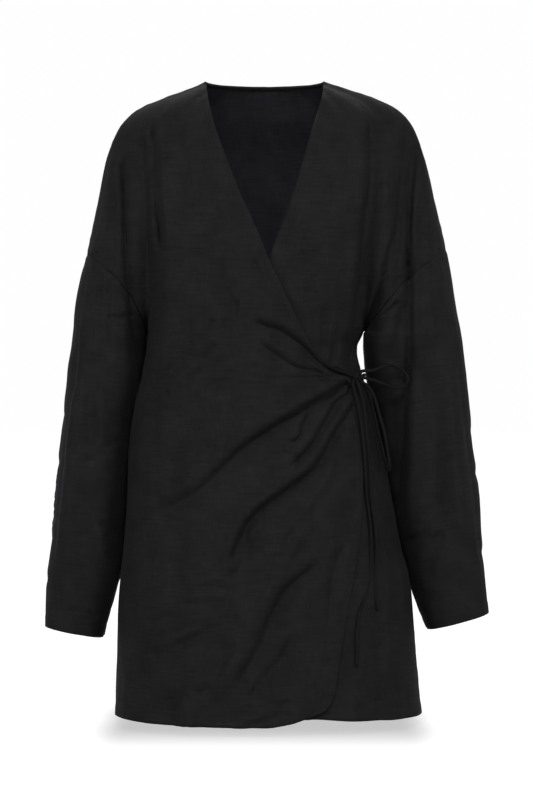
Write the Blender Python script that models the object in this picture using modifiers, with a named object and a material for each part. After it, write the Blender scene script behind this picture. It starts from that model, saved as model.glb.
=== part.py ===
"""Wrap dress with dropped shoulders, long sleeves and a tied side, hollow as when it is worn.

Frame: metres, +Z up. The front faces -Y and +X is the wearer's left.
The origin lies midway between the two neck points, where the shoulders carry the dress.
Heights are given as drops: distances below the neck points.
"""

import math
from collections import namedtuple

import bmesh
import bpy
import numpy as np

# ---------------------------------------------------------------- driving dimensions
WALL = 0.0012            # thickness of the cloth wall
SEAM_GAP = 0.0005        # distance between the middles of two panels that meet at a seam
CROTCH_GAP = 0.0021      # the same where body and sleeve hang side by side under the arm
UNDERLAP = 0.0045        # how far the under layer lies inside the top layer at the wrap's edge
UNDERLAP_RAMP = 0.060    # width over which the under layer sinks to that depth
UNDERLAP_DEEP = 0.014    # how much further inside it hangs behind the top layer's folds
DEEP_RAMP = 0.022        # width over which it sinks that much further
SIDE_RAMP = 0.10         # share of a row over which it comes back to the side seam
BINDING_WIDTH = 0.005    # width of the binding inside the back neck
BINDING_WALL = 0.0010
BINDING_REACH = 0.97     # share of the back neck's half length that it covers
REST_GAP = 0.0003        # gap between pieces that lie against each other
TIE_WIDTH = 0.0044       # diameter of the narrow rouleau ties

TOP_DROP = 0.226         # drop of the middle of the row that starts at the armhole's top
UNDERARM_DROP = 0.330    # drop of both underarm points
FINE_DROP = 0.570        # above this drop the rows below the underarm are close together
HEM_DROP = 0.827         # mean drop of the hem

SHOULDER_ROWS = 11       # rows of the fronts and back along the shoulder seam
ARMHOLE_ROWS = 10        # rows along each half of the armhole
FINE_ROWS = 17           # rows from the underarm to FINE_DROP
HEM_ROWS = 9             # rows from there to the hem
BACK_STEP = 2            # the back takes every second row below the underarm
TOP_COLUMNS = 23         # columns of the top layer
UNDER_COLUMNS = 15       # columns of the under layer
BACK_COLUMNS = 20
SLEEVE_ROWS = 17
CORD_STEP = 3 * TIE_WIDTH    # distance between the points of a tie
ROW_STEPS = 240          # steps in which a row's length is measured
EDGE_HALVINGS = 24       # halvings in which a free edge is found on a row
CURVE_STEPS = 16         # steps of a tie's smooth curve between two points of its route
BOW_FADE = 0.26          # share of the sleeve over which the armhole's bow fades
CROTCH_FADE = 0.083      # share of the side seam over which the gap under the arm closes
LEVEL = 0.2              # share of the half width within which a row above the underarm is level

CLOTH_COLOUR = (0.012, 0.012, 0.013, 1)
CLOTH_ROUGHNESS = 0.85

# ---------------------------------------------------------------- form of the worn dress
# Outline seen from the front: shoulders and the outer sides of the sleeves.
Width = namedtuple("Width", "drop right left")
OUTLINE = [
    Width(0.000, 0.0775, 0.0765),
    Width(0.010, 0.1000, 0.1080),
    Width(0.020, 0.1275, 0.1370),
    Width(0.030, 0.1530, 0.1600),
    Width(0.042, 0.1735, 0.1787),
    Width(0.063, 0.1920, 0.1945),
    Width(0.100, 0.2060, 0.2085),
    Width(0.160, 0.2190, 0.2230),
    Width(0.229, 0.2335, 0.2390),
    Width(0.290, 0.2465, 0.2500),
    Width(0.350, 0.2535, 0.2572),
    Width(0.430, 0.2620, 0.2650),
    Width(0.510, 0.2705, 0.2730),
    Width(0.590, 0.2790, 0.2812),
    Width(0.655, 0.2850, 0.2884),
    Width(0.730, 0.2890, 0.2940),
]
# Half widths of the torso. Above the underarm they are those of the chest, between the arms.
TORSO = [
    Width(0.000, 0.0775, 0.0765),
    Width(0.020, 0.1275, 0.1370),
    Width(0.040, 0.1560, 0.1580),
    Width(0.100, 0.1600, 0.1580),
    Width(0.160, 0.1600, 0.1545),
    Width(0.229, 0.1585, 0.1470),
    Width(0.270, 0.1570, 0.1400),
    Width(0.300, 0.1558, 0.1335),
    Width(0.330, 0.1545, 0.1290),
    Width(0.350, 0.1555, 0.1205),
    Width(0.381, 0.1600, 0.1260),
    Width(0.424, 0.1700, 0.1410),
    Width(0.484, 0.1772, 0.1550),
    Width(0.549, 0.1800, 0.1670),
    Width(0.608, 0.1840, 0.1775),
    Width(0.650, 0.1880, 0.1880),
    Width(0.738, 0.1920, 0.1965),
    Width(0.828, 0.1945, 0.2050),
]
# Depths of the torso in front of and behind the seams, and how boxy its rings are (2 is an ellipse).
Depth = namedtuple("Depth", "drop front back boxy")
DEPTHS = [
    Depth(0.000, 0.006, 0.050, 2.0),
    Depth(0.010, 0.022, 0.056, 2.0),
    Depth(0.025, 0.041, 0.064, 2.0),
    Depth(0.050, 0.063, 0.074, 2.1),
    Depth(0.090, 0.085, 0.088, 2.4),
    Depth(0.150, 0.104, 0.100, 2.6),
    Depth(0.220, 0.114, 0.104, 2.7),
    Depth(0.290, 0.115, 0.099, 2.7),
    Depth(0.350, 0.111, 0.091, 2.5),
    Depth(0.410, 0.110, 0.088, 2.3),
    Depth(0.470, 0.114, 0.094, 2.2),
    Depth(0.550, 0.123, 0.107, 2.2),
    Depth(0.650, 0.132, 0.118, 2.2),
    Depth(0.829, 0.142, 0.127, 2.2),
]
# The arms: inner side, depths, the share of the whole ring that they still are near the shoulder,
# the fillet between arm and chest, and how far back the inner side is turned.
Arm = namedtuple("Arm", "drop right left front back merged fillet turned")
ARMS = [
    Arm(0.040, 0.0300, 0.0300, 0.062, 0.070, 1.00, 0.000, 0.000),
    Arm(0.100, 0.0400, 0.0400, 0.078, 0.078, 0.60, 0.030, 0.000),
    Arm(0.150, 0.0500, 0.0500, 0.082, 0.082, 0.35, 0.030, 0.000),
    Arm(0.200, 0.0700, 0.0620, 0.080, 0.082, 0.15, 0.024, 0.000),
    Arm(0.250, 0.1000, 0.0840, 0.075, 0.079, 0.04, 0.018, 0.000),
    Arm(0.290, 0.1280, 0.1060, 0.072, 0.075, 0.00, 0.014, 0.000),
    Arm(0.330, 0.1552, 0.1297, 0.071, 0.073, 0.00, 0.010, 0.000),
    Arm(0.341, 0.1575, 0.1300, 0.071, 0.073, 0.00, 0.010, 0.005),
    Arm(0.356, 0.1595, 0.1305, 0.072, 0.074, 0.00, 0.010, 0.014),
    Arm(0.390, 0.1640, 0.1335, 0.073, 0.076, 0.00, 0.010, 0.028),
    Arm(0.455, 0.1728, 0.1470, 0.073, 0.077, 0.00, 0.010, 0.036),
    Arm(0.531, 0.1778, 0.1618, 0.070, 0.074, 0.00, 0.010, 0.037),
    Arm(0.615, 0.1845, 0.1785, 0.063, 0.067, 0.00, 0.010, 0.033),
    Arm(0.684, 0.2007, 0.1995, 0.055, 0.059, 0.00, 0.010, 0.018),
    Arm(0.727, 0.2120, 0.2180, 0.050, 0.053, 0.00, 0.010, 0.008),
]
ARM_BOXY = 2.1           # how boxy the rings of a sleeve are

# Where the rings of a sleeve start outside and end inside, from the armhole to the cuff.
Ring = namedtuple("Ring", "along right_out right_inn left_out left_inn")
RINGS = [
    Ring(0.00, 0.2290, 0.3300, 0.2220, 0.3300),
    Ring(0.06, 0.2580, 0.3410, 0.2520, 0.3380),
    Ring(0.14, 0.2900, 0.3580, 0.2900, 0.3520),
    Ring(0.26, 0.3450, 0.3920, 0.3500, 0.3820),
    Ring(0.42, 0.4250, 0.4550, 0.4300, 0.4550),
    Ring(0.58, 0.5050, 0.5300, 0.5080, 0.5320),
    Ring(0.75, 0.5900, 0.6120, 0.5920, 0.6200),
    Ring(0.90, 0.6660, 0.6850, 0.6600, 0.6840),
    Ring(1.00, 0.7125, 0.7275, 0.6945, 0.7174),
]

# Folds, seen from the front: each runs from a start to an end, bowed by bow towards the drop axis.
# A positive depth is a trough and a negative one a ridge. Both ends fade out.
Fold = namedtuple("Fold", "x0 drop0 x1 drop1 bow width0 width1 depth0 depth1")
TOP_FOLDS = [
    Fold(0.110, 0.386, -0.060, 0.520, -0.014, 0.016, 0.021, 0.0110, 0.0070),
    Fold(0.000, 0.480, -0.160, 0.580, 0.004, 0.018, 0.022, 0.0050, 0.0030),
    Fold(0.116, 0.428, -0.004, 0.562, 0.014, 0.017, 0.021, 0.0120, 0.0090),
    Fold(0.016, 0.545, -0.080, 0.690, -0.008, 0.018, 0.021, 0.0080, 0.0040),
    Fold(0.118, 0.466, 0.000, 0.620, 0.014, 0.018, 0.020, -0.0050, -0.0040),
    Fold(0.045, 0.640, -0.040, 0.800, 0.003, 0.017, 0.019, 0.0055, 0.0040),
    Fold(-0.150, 0.738, -0.050, 0.700, -0.004, 0.015, 0.017, 0.0035, 0.0030),
    Fold(-0.024, 0.316, 0.092, 0.383, -0.012, 0.014, 0.012, 0.0035, 0.0060),
    Fold(-0.037, 0.278, -0.079, 0.370, 0.002, 0.015, 0.016, 0.0030, 0.0030),
    Fold(-0.120, 0.770, -0.124, 0.850, 0.000, 0.015, 0.016, 0.0050, 0.0050),
    Fold(-0.090, 0.760, -0.088, 0.850, 0.000, 0.015, 0.015, -0.0040, -0.0045),
]
UNDER_FOLDS = [
    Fold(0.152, 0.500, 0.178, 0.740, 0.000, 0.014, 0.016, -0.0050, -0.0030),
    Fold(0.130, 0.560, 0.152, 0.860, 0.000, 0.014, 0.016, 0.0050, 0.0050),
]
ARM_FOLDS = [
    Fold(-0.1465, 0.055, -0.1480, 0.285, -0.004, 0.013, 0.012, 0.0060, 0.0050),
    Fold(-0.184, 0.085, -0.165, 0.410, 0.006, 0.012, 0.010, 0.0035, 0.0050),
    Fold(-0.207, 0.090, -0.209, 0.340, 0.000, 0.013, 0.013, -0.0040, -0.0035),
    Fold(-0.234, 0.480, -0.205, 0.650, 0.004, 0.014, 0.014, 0.0045, 0.0040),
    Fold(0.143, 0.055, 0.127, 0.290, 0.002, 0.012, 0.012, 0.0050, 0.0050),
    Fold(0.176, 0.085, 0.150, 0.290, -0.006, 0.012, 0.011, 0.0050, 0.0050),
    Fold(0.178, 0.090, 0.164, 0.620, -0.006, 0.014, 0.018, 0.0060, 0.0130),
    Fold(0.210, 0.090, 0.216, 0.330, 0.000, 0.013, 0.013, -0.0040, -0.0035),
    Fold(0.184, 0.622, 0.230, 0.578, 0.003, 0.012, 0.012, 0.0045, 0.0040),
    Fold(0.238, 0.580, 0.218, 0.660, 0.000, 0.012, 0.012, 0.0040, 0.0030),
]
BACK_FOLDS = [
    Fold(-0.148, 0.070, -0.146, 0.300, 0.004, 0.013, 0.011, 0.0050, 0.0060),
    Fold(0.146, 0.070, 0.130, 0.300, -0.004, 0.013, 0.011, 0.0050, 0.0060),
    Fold(0.118, 0.392, -0.010, 0.470, 0.008, 0.011, 0.016, 0.0070, 0.0030),
    Fold(0.118, 0.410, 0.030, 0.560, -0.008, 0.011, 0.018, 0.0070, 0.0030),
    Fold(0.116, 0.372, 0.010, 0.335, 0.006, 0.010, 0.014, 0.0050, 0.0020),
    Fold(-0.060, 0.230, -0.085, 0.640, 0.010, 0.018, 0.022, 0.0030, 0.0050),
    Fold(-0.020, 0.520, -0.038, 0.840, 0.004, 0.018, 0.020, 0.0030, 0.0060),
    Fold(0.066, 0.560, 0.088, 0.840, 0.000, 0.016, 0.020, 0.0035, 0.0060),
    Fold(0.024, 0.540, 0.030, 0.840, 0.000, 0.018, 0.020, -0.0030, -0.0045),
    Fold(-0.110, 0.600, -0.128, 0.840, 0.000, 0.016, 0.018, -0.0030, -0.0045),
    Fold(-0.215, 0.360, -0.205, 0.560, 0.006, 0.012, 0.014, 0.0050, 0.0040),
    Fold(0.215, 0.360, 0.212, 0.560, -0.006, 0.012, 0.014, 0.0050, 0.0040),
]
FOLD_FADE = 0.22         # share of a fold's length over which each end fades
FOLD_RIM = 0.030         # depth of the form over which folds grow from the side seams inwards

Side = namedtuple("Side", "name sign top_drop bow")
RIGHT = Side(name="right", sign=-1, top_drop=0.229, bow=0.014)
LEFT = Side(name="left", sign=1, top_drop=0.222, bow=0.009)

Hem = namedtuple("Hem", "across drop")
TOP_HEM = [Hem(-0.195, 0.825), Hem(-0.120, 0.828), Hem(0.000, 0.829), Hem(0.030, 0.825), Hem(0.056, 0.817)]
UNDER_HEM = [Hem(-0.120, 0.820), Hem(0.056, 0.819), Hem(0.110, 0.823), Hem(0.205, 0.827)]
BACK_HEM = [Hem(-0.195, 0.825), Hem(0.000, 0.828), Hem(0.205, 0.827)]

# A panel of the body: which way it faces (1 front, -1 back), its hem line and its own folds.
Panel = namedtuple("Panel", "facing hem folds")
TOP = Panel(1, TOP_HEM, TOP_FOLDS)
UNDER = Panel(1, UNDER_HEM, UNDER_FOLDS)
BACK = Panel(-1, BACK_HEM, ())

# Free edges of the two fronts, seen from the front: neckline, wrap edge and front edge.
Edge = namedtuple("Edge", "drop across")
TOP_EDGE = [
    Edge(0.000, -0.0775),
    Edge(0.022, -0.0745),
    Edge(0.063, -0.0650),
    Edge(0.107, -0.0500),
    Edge(0.158, -0.0300),
    Edge(0.192, -0.0145),
    Edge(0.238, 0.0045),
    Edge(0.285, 0.0265),
    Edge(0.325, 0.0460),
    Edge(0.362, 0.0670),
    Edge(0.379, 0.0810),
    Edge(0.386, 0.0930),
    Edge(0.389, 0.1060),
    Edge(0.396, 0.1125),
    Edge(0.432, 0.1190),
    Edge(0.490, 0.1250),
    Edge(0.540, 0.1245),
    Edge(0.600, 0.1200),
    Edge(0.680, 0.1060),
    Edge(0.755, 0.0930),
    Edge(0.790, 0.0870),
    Edge(0.806, 0.0790),
    Edge(0.817, 0.0560),
]
UNDER_EDGE = [
    Edge(0.000, 0.0765),
    Edge(0.018, 0.0750),
    Edge(0.063, 0.0625),
    Edge(0.112, 0.0485),
    Edge(0.156, 0.0355),
    Edge(0.192, 0.0220),
    Edge(0.238, 0.0045),
    Edge(0.285, -0.0200),
    Edge(0.335, -0.0550),
    Edge(0.388, -0.1080),
    Edge(0.450, -0.1160),
    Edge(0.600, -0.1160),
    Edge(0.820, -0.1100),
]


# ---------------------------------------------------------------- curves read from the tables
def smooth(keys, values, at):
    """Monotone cubic through (keys, values), read at one key or an array of keys."""
    keys = np.asarray(keys, float)
    values = np.asarray(values, float)
    step = np.diff(keys)
    slope = np.diff(values) / step
    tangent = np.empty_like(values)
    tangent[0] = slope[0]
    tangent[-1] = slope[-1]
    product = slope[:-1] * slope[1:]
    weight_a = 2 * step[1:] + step[:-1]
    weight_b = step[1:] + 2 * step[:-1]
    both = weight_a * slope[1:] + weight_b * slope[:-1]
    bent = product > 0
    tangent[1:-1] = np.where(bent, (weight_a + weight_b) * product / np.where(bent, both, 1), 0)
    cell = np.clip(np.searchsorted(keys, at, side="right") - 1, 0, len(keys) - 2)
    t = np.clip((at - keys[cell]) / step[cell], 0, 1)
    width = step[cell]
    low = values[cell] * (1 + 2 * t) * (1 - t) ** 2 + tangent[cell] * width * t * (1 - t) ** 2
    high = values[cell + 1] * t * t * (3 - 2 * t) - tangent[cell + 1] * width * t * t * (1 - t)
    return low + high


def column(table, name, at, key="drop"):
    """A named column of a table, read smoothly at a key."""
    keys = [getattr(row, key) for row in table]
    return smooth(keys, [getattr(row, name) for row in table], at)


def ease(t):
    """Smooth step from 0 to 1."""
    t = np.clip(t, 0, 1)
    return t * t * (3 - 2 * t)


# ---------------------------------------------------------------- the worn form
def lobe(across, low, high, reach, boxy):
    """Depth of a rounded ring that spans low to high."""
    place = np.abs((2 * across - low - high) / (high - low))
    return reach * np.maximum(1 - place ** boxy, 0) ** (1 / boxy)


def arm_depth(side, across, drop, facing):
    """Depth of the arm's ring at a distance from the middle plane, and at a drop."""
    outer = column(OUTLINE, side.name, drop)
    merged = column(ARMS, "merged", drop)
    inner = column(ARMS, side.name, drop) * (1 - merged) - outer * merged
    face = "front" if facing > 0 else "back"
    reach = column(ARMS, face, drop) * (1 - merged) + column(DEPTHS, face, drop) * merged
    return lobe(across, inner, outer, reach, ARM_BOXY)


def body_depth(side, across, drop, facing):
    """Depth of the body in front of (facing 1) or behind (facing -1) the plane of the seams."""
    half = np.minimum(column(TORSO, side.name, drop), column(OUTLINE, side.name, drop))
    reach = column(DEPTHS, "front" if facing > 0 else "back", drop)
    chest = lobe(across, -half, half, reach, column(DEPTHS, "boxy", drop))
    arm = np.where(drop < UNDERARM_DROP, arm_depth(side, across, drop, facing), 0)
    deeper = np.maximum(chest, arm)
    fillet = np.minimum(column(ARMS, "fillet", drop), deeper) + 1e-9
    overlap = np.maximum(fillet - np.abs(chest - arm), 0)
    return deeper + overlap ** 2 / (4 * fillet) * (drop < UNDERARM_DROP)


def fold_depth(folds, x, drop):
    """How far the folds of a table sink the cloth at a place seen from the front."""
    total = np.zeros(np.broadcast(x, drop).shape)
    for fold in folds:
        run = np.array([fold.x1 - fold.x0, fold.drop1 - fold.drop0])
        length = np.hypot(*run)
        run = run / length
        along = ((x - fold.x0) * run[0] + (drop - fold.drop0) * run[1]) / length
        side_way = (drop - fold.drop0) * abs(run[0]) - (x - fold.x0) * run[1] * math.copysign(1, run[0])
        side_way = side_way - fold.bow * 4 * along * (1 - along)
        width = fold.width0 + (fold.width1 - fold.width0) * np.clip(along, 0, 1)
        depth = fold.depth0 + (fold.depth1 - fold.depth0) * np.clip(along, 0, 1)
        ends = ease(along / FOLD_FADE) * ease((1 - along) / FOLD_FADE)
        total = total + depth * ends * np.exp(-(side_way / width) ** 2)
    return total


def folded(depth, x, drop, facing, own_folds=()):
    """A depth of the form, with the folds of the cloth in it."""
    folds = list(own_folds) + (ARM_FOLDS if facing > 0 else BACK_FOLDS)
    return depth - fold_depth(folds, x, drop) * ease(depth / FOLD_RIM)


def shoulder_drop(side, share):
    """Drop at a share of the length of the shoulder seam, from neck point to armhole."""
    drops = np.linspace(0, 1, ROW_STEPS) ** 1.5 * side.top_drop
    widths = column(OUTLINE, side.name, drops)
    lengths = np.concatenate([[0], np.cumsum(np.hypot(np.diff(drops), np.diff(widths)))])
    return float(np.interp(share * lengths[-1], lengths, drops))


def armhole_place(side, angle, gap_side):
    """Distance from the middle plane and drop of the armhole seam.

    angle is 0 at its top, pi/2 at the front or back and pi under the arm.
    gap_side is +1 for the body's edge, -1 for the sleeve's and 0 for the seam's middle.
    """
    top = np.array([float(column(OUTLINE, side.name, side.top_drop)), side.top_drop])
    under = np.array([float(column(TORSO, side.name, UNDERARM_DROP)), UNDERARM_DROP])
    half = (top - under) / 2
    inward = np.array([half[1], -half[0]]) / np.hypot(*half)
    under_share = ease((1 - math.cos(angle)) / 2) ** 2
    gap = (SEAM_GAP + (CROTCH_GAP - SEAM_GAP) * under_share) / 2
    shift = side.bow * math.sin(angle) ** 2 + gap_side * gap
    return (top + under) / 2 + half * math.cos(angle) + inward * shift


def side_edge(side, station):
    """Where a row of the body starts: its distance from the middle plane and its drop.

    station runs 0 to 1 down the shoulder seam, to 2 round half the armhole and to 3 down the side seam.
    """
    if station <= 1:
        drop = shoulder_drop(side, station)
        return float(column(OUTLINE, side.name, drop)), drop
    if station < 2:
        return armhole_place(side, (station - 1) * math.pi, 1)
    drop = UNDERARM_DROP + (station - 2) * (HEM_DROP - UNDERARM_DROP)
    crotch = CROTCH_GAP / 2 * (1 - ease((station - 2) / CROTCH_FADE))
    return float(column(TORSO, side.name, drop)) - crotch, drop


def middle_drop(side, station):
    """Drop of a row in the middle of the body."""
    if station <= 1:
        return side_edge(side, station)[1] + (TOP_DROP - side.top_drop) * station
    if station <= 2:
        return TOP_DROP + (UNDERARM_DROP - TOP_DROP) * (station - 1)
    return side_edge(side, station)[1]


def half_row(side, station, panel, tau):
    """Points of a row on one side. tau is 1 at the side edge and 0 in the middle, even along the row."""
    width, drop = side_edge(side, station)
    middle = middle_drop(side, station)
    turn = np.linspace(0, math.pi / 2, ROW_STEPS)
    across = width * np.cos(turn)
    drops = middle + (drop - middle) * ease((across / width - LEVEL) / (1 - LEVEL))
    if station > 2:
        hem_line = column(panel.hem, "drop", side.sign * across, "across")
        drops = UNDERARM_DROP + (hem_line - UNDERARM_DROP) * (station - 2)
    form = np.where(drops > UNDERARM_DROP, width, 1)
    outer = column(TORSO, side.name, drops)
    across_form = np.where(drops > UNDERARM_DROP, across * outer / form, across)
    depth = body_depth(side, across_form, drops, panel.facing)
    depth = folded(depth, side.sign * across, drops, panel.facing, panel.folds) + SEAM_GAP / 2
    row = np.stack([side.sign * across, -panel.facing * depth, -drops], axis=1)
    length = np.concatenate([[0], np.cumsum(np.linalg.norm(np.diff(row, axis=0), axis=1))])
    place = (1 - tau) * length[-1]
    return np.stack([np.interp(place, length, row[:, axis]) for axis in range(3)], axis=1)


def body_point(tau, station, panel):
    """Points of one row of a panel, for tau from -1 at the right side edge to 1 at the left one."""
    tau = np.asarray(tau, float)
    points = np.empty((len(tau), 3))
    right = tau < 0
    if right.any():
        points[right] = half_row(RIGHT, station, panel, -tau[right])
    if not right.all():
        points[~right] = half_row(LEFT, station, panel, tau[~right])
    return points


def edge_tau(panel, edge, station):
    """The place on a front row where the free edge of a panel crosses it."""
    low, high = -1.0, 1.0
    for _ in range(EDGE_HALVINGS):
        middle = (low + high) / 2
        x, _, z = body_point([middle], station, panel)[0]
        if x < column(edge, "across", -z):
            low = middle
        else:
            high = middle
    return (low + high) / 2


# ---------------------------------------------------------------- meshes
def stations(step=1):
    """Row stations of the body from the neck points to the hem."""
    rows = [i / SHOULDER_ROWS for i in range(SHOULDER_ROWS)]
    rows += [1 + i / ARMHOLE_ROWS for i in range(ARMHOLE_ROWS)]
    fine = (FINE_DROP - UNDERARM_DROP) / (HEM_DROP - UNDERARM_DROP)
    below = [2 + fine * i / FINE_ROWS for i in range(FINE_ROWS)]
    below += [2 + fine + (1 - fine) * i / HEM_ROWS for i in range(HEM_ROWS + 1)]
    last = below[-1]
    below = below[::step]
    if below[-1] != last:
        below.append(last)
    return rows + below


def outward(points, closed=False):
    """Unit normals of a grid of points, rows running down and columns to the wearer's left."""
    down = np.gradient(points, axis=0)
    if closed:
        wrapped = np.concatenate([points[:, -1:], points, points[:, :1]], axis=1)
        over = np.gradient(wrapped, axis=1)[:, 1:-1]
    else:
        over = np.gradient(points, axis=1)
    normal = np.cross(down, over)
    length = np.linalg.norm(normal, axis=2, keepdims=True)
    return normal / np.maximum(length, 1e-12)


def cloth(name, points, material, closed=False, fan=False, thickness=WALL):
    """A cloth wall through a grid of points, made solid by Solidify."""
    mesh = bpy.data.meshes.new(name)
    bm = bmesh.new()
    rows = [[bm.verts.new(p) for p in row] for row in points[1 if fan else 0:]]
    for upper, lower in zip(rows, rows[1:]):
        count = len(upper)
        for i in range(count if closed else count - 1):
            j = (i + 1) % count
            bm.faces.new((upper[i], lower[i], lower[j], upper[j]))
    if fan:
        tip = bm.verts.new(points[0][0])
        for left, right in zip(rows[0], rows[0][1:]):
            bm.faces.new((tip, left, right))
    bm.to_mesh(mesh)
    bm.free()
    mesh.shade_smooth()
    mesh.materials.append(material)
    obj = bpy.data.objects.new(name, mesh)
    wall = obj.modifiers.new("Wall", "SOLIDIFY")
    wall.thickness = thickness
    wall.offset = 0
    dress.objects.link(obj)
    return obj


def cloth_material(name):
    """The dress's near-black matt cloth."""
    material = bpy.data.materials.new(name)
    material.use_nodes = True
    shader = material.node_tree.nodes["Principled BSDF"]
    shader.inputs["Base Color"].default_value = CLOTH_COLOUR
    shader.inputs["Roughness"].default_value = CLOTH_ROUGHNESS
    shader.inputs["Metallic"].default_value = 0
    return material


# ---------------------------------------------------------------- panels
def top_points():
    """Points of the top layer of the wrap, from the right side to its free edge."""
    rows = [np.linspace(-1, edge_tau(TOP, TOP_EDGE, station), TOP_COLUMNS + 1) for station in stations()]
    return np.array([body_point(row, station, TOP) for row, station in zip(rows, stations())])


def under_points():
    """Points of the under layer, from its free edge behind the top layer to the left side."""
    rows = [np.linspace(edge_tau(UNDER, UNDER_EDGE, station), 1, UNDER_COLUMNS + 1) for station in stations()]
    points = np.array([body_point(row, station, UNDER) for row, station in zip(rows, stations())])
    across, drops = points[:, :, 0], -points[:, :, 2]
    covered = column(TOP_EDGE, "across", drops) - across
    folds = fold_depth(TOP_FOLDS, across, drops) * ease(1 + covered / DEEP_RAMP)
    sink = UNDERLAP * ease(1 + covered / UNDERLAP_RAMP)
    sink = sink + np.maximum(UNDERLAP_DEEP * ease(covered / DEEP_RAMP), folds)
    sink = sink * ease((1 - np.array(rows)) / SIDE_RAMP)
    return points - outward(points) * sink[:, :, None]


def right_front():
    cloth("right_front", top_points(), cloth_material("right_front_cloth"), fan=True)


def left_front():
    cloth("left_front", under_points(), cloth_material("left_front_cloth"), fan=True)


def back():
    tau = np.linspace(1, -1, BACK_COLUMNS + 1)
    points = np.array([body_point(tau, station, BACK) for station in stations(BACK_STEP)])
    cloth("back", points, cloth_material("back_cloth"))


def back_neck_binding():
    """A narrow strip inside the back neck, made from the back's own points."""
    tau = np.clip(np.linspace(1, -1, BACK_COLUMNS + 1), -BINDING_REACH, BINDING_REACH)
    edge = body_point(tau, 0, BACK)
    below = body_point(tau, 1 / SHOULDER_ROWS, BACK)
    down = (below - edge) / np.linalg.norm(below - edge, axis=1, keepdims=True)
    strip = np.array([edge, edge + down * BINDING_WIDTH])
    inward = -outward(strip) * (WALL / 2 + REST_GAP + BINDING_WALL / 2)
    material = cloth_material("back_neck_binding_cloth")
    cloth("back_neck_binding", strip + inward, material, thickness=BINDING_WALL)


def sleeve_ring(side, along, angles):
    """One ring of a sleeve, from its outer side round the front, the inner side and the back."""
    out_drop = float(column(RINGS, side.name + "_out", along, "along"))
    inn_drop = float(column(RINGS, side.name + "_inn", along, "along"))
    out = np.array([float(column(OUTLINE, side.name, out_drop)), out_drop])
    inn = np.array([float(column(ARMS, side.name, inn_drop)), inn_drop])
    inward = np.array([out[1] - inn[1], inn[0] - out[0]]) / np.hypot(*(out - inn))
    bow = side.bow * (1 - ease(along / BOW_FADE))
    ring = []
    for angle in angles:
        facing = 1 if math.sin(angle) >= 0 else -1
        if along == 0:
            across, drop = armhole_place(side, angle, -1)
            depth = body_depth(side, across, np.float64(drop), facing)
        else:
            place = (out + inn) / 2 + (out - inn) / 2 * math.cos(angle) + inward * bow * math.sin(angle) ** 2
            across, drop = place
            depth = arm_depth(side, across, np.float64(drop), facing)
        depth = float(folded(depth, side.sign * across, drop, facing))
        inside = (out[0] - across) / (out[0] - inn[0])
        turned = float(column(ARMS, "turned", drop)) * ease(inside)
        ring.append((side.sign * across, turned - facing * depth, -drop))
    return ring


def sleeve(side):
    angles = [i * math.pi / ARMHOLE_ROWS for i in range(2 * ARMHOLE_ROWS)]
    if side is LEFT:
        angles = [-angle for angle in angles]
    rings = [sleeve_ring(side, row / SLEEVE_ROWS, angles) for row in range(SLEEVE_ROWS + 1)]
    material = cloth_material(side.name + "_sleeve_cloth")
    cloth(side.name + "_sleeve", np.array(rings), material, closed=True)


# ---------------------------------------------------------------- ties
# The ties are knotted in a bow at the wearer's left waist. Each route is a list of (x, y, z) points,
# and a route's end at the knot is marked KNOT.
KNOT = "knot"
KNOT_PLACE = np.array([0.1170, -0.0708, -0.3880])
KNOT_RADII = np.array([0.0070, 0.0062, 0.0067])
LEAD_FRONT = [
    (0.0845, -0.0908, -0.3762),
    (0.0925, -0.0858, -0.3798),
    (0.1010, -0.0795, -0.3825),
    (0.1062, -0.0750, -0.3843),
    KNOT,
]
LEAD_SIDE = [
    (0.1303, -0.0180, -0.3850),
    (0.1285, -0.0340, -0.3852),
    (0.1272, -0.0500, -0.3858),
    (0.1255, -0.0605, -0.3866),
    KNOT,
]
LOOP_SHORT = [
    KNOT,
    (0.1238, -0.0756, -0.3812),
    (0.1290, -0.0765, -0.3805),
    (0.1360, -0.0750, -0.3805),
    (0.1455, -0.0705, -0.3775),
    (0.1584, -0.0640, -0.3735),
    (0.1700, -0.0585, -0.3755),
    (0.1800, -0.0545, -0.3820),
    (0.1848, -0.0541, -0.3915),
    (0.1790, -0.0530, -0.4000),
    (0.1674, -0.0560, -0.4024),
    (0.1558, -0.0620, -0.3985),
    (0.1416, -0.0690, -0.3935),
    (0.1320, -0.0745, -0.3905),
    (0.1264, -0.0756, -0.3893),
    KNOT,
]
LOOP_LONG = [
    KNOT,
    (0.1246, -0.0719, -0.3956),
    (0.1300, -0.0715, -0.3985),
    (0.1355, -0.0695, -0.4050),
    (0.1410, -0.0675, -0.4160),
    (0.1470, -0.0655, -0.4372),
    (0.1535, -0.0645, -0.4591),
    (0.1574, -0.0640, -0.4811),
    (0.1600, -0.0635, -0.4975),
    (0.1607, -0.0605, -0.5065),
    (0.1595, -0.0550, -0.5097),
    (0.1580, -0.0490, -0.5065),
    (0.1562, -0.0463, -0.4985),
    (0.1530, -0.0455, -0.4870),
    (0.1495, -0.0455, -0.4720),
    (0.1450, -0.0465, -0.4520),
    (0.1400, -0.0495, -0.4320),
    (0.1345, -0.0540, -0.4130),
    (0.1285, -0.0605, -0.3995),
    (0.1238, -0.0650, -0.3938),
    KNOT,
]
TAIL_SHORT = [
    KNOT,
    (0.1191, -0.0759, -0.3968),
    (0.1225, -0.0757, -0.4080),
    (0.1265, -0.0757, -0.4243),
    (0.1298, -0.0760, -0.4564),
    (0.1327, -0.0765, -0.4884),
    (0.1345, -0.0772, -0.5202),
    (0.1362, -0.0782, -0.5494),
    (0.1400, -0.0795, -0.5736),
    (0.1424, -0.0822, -0.6029),
    (0.1412, -0.0879, -0.6293),
    (0.1400, -0.0936, -0.6531),
    (0.1411, -0.0954, -0.6721),
    (0.1437, -0.0954, -0.6861),
]
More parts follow.
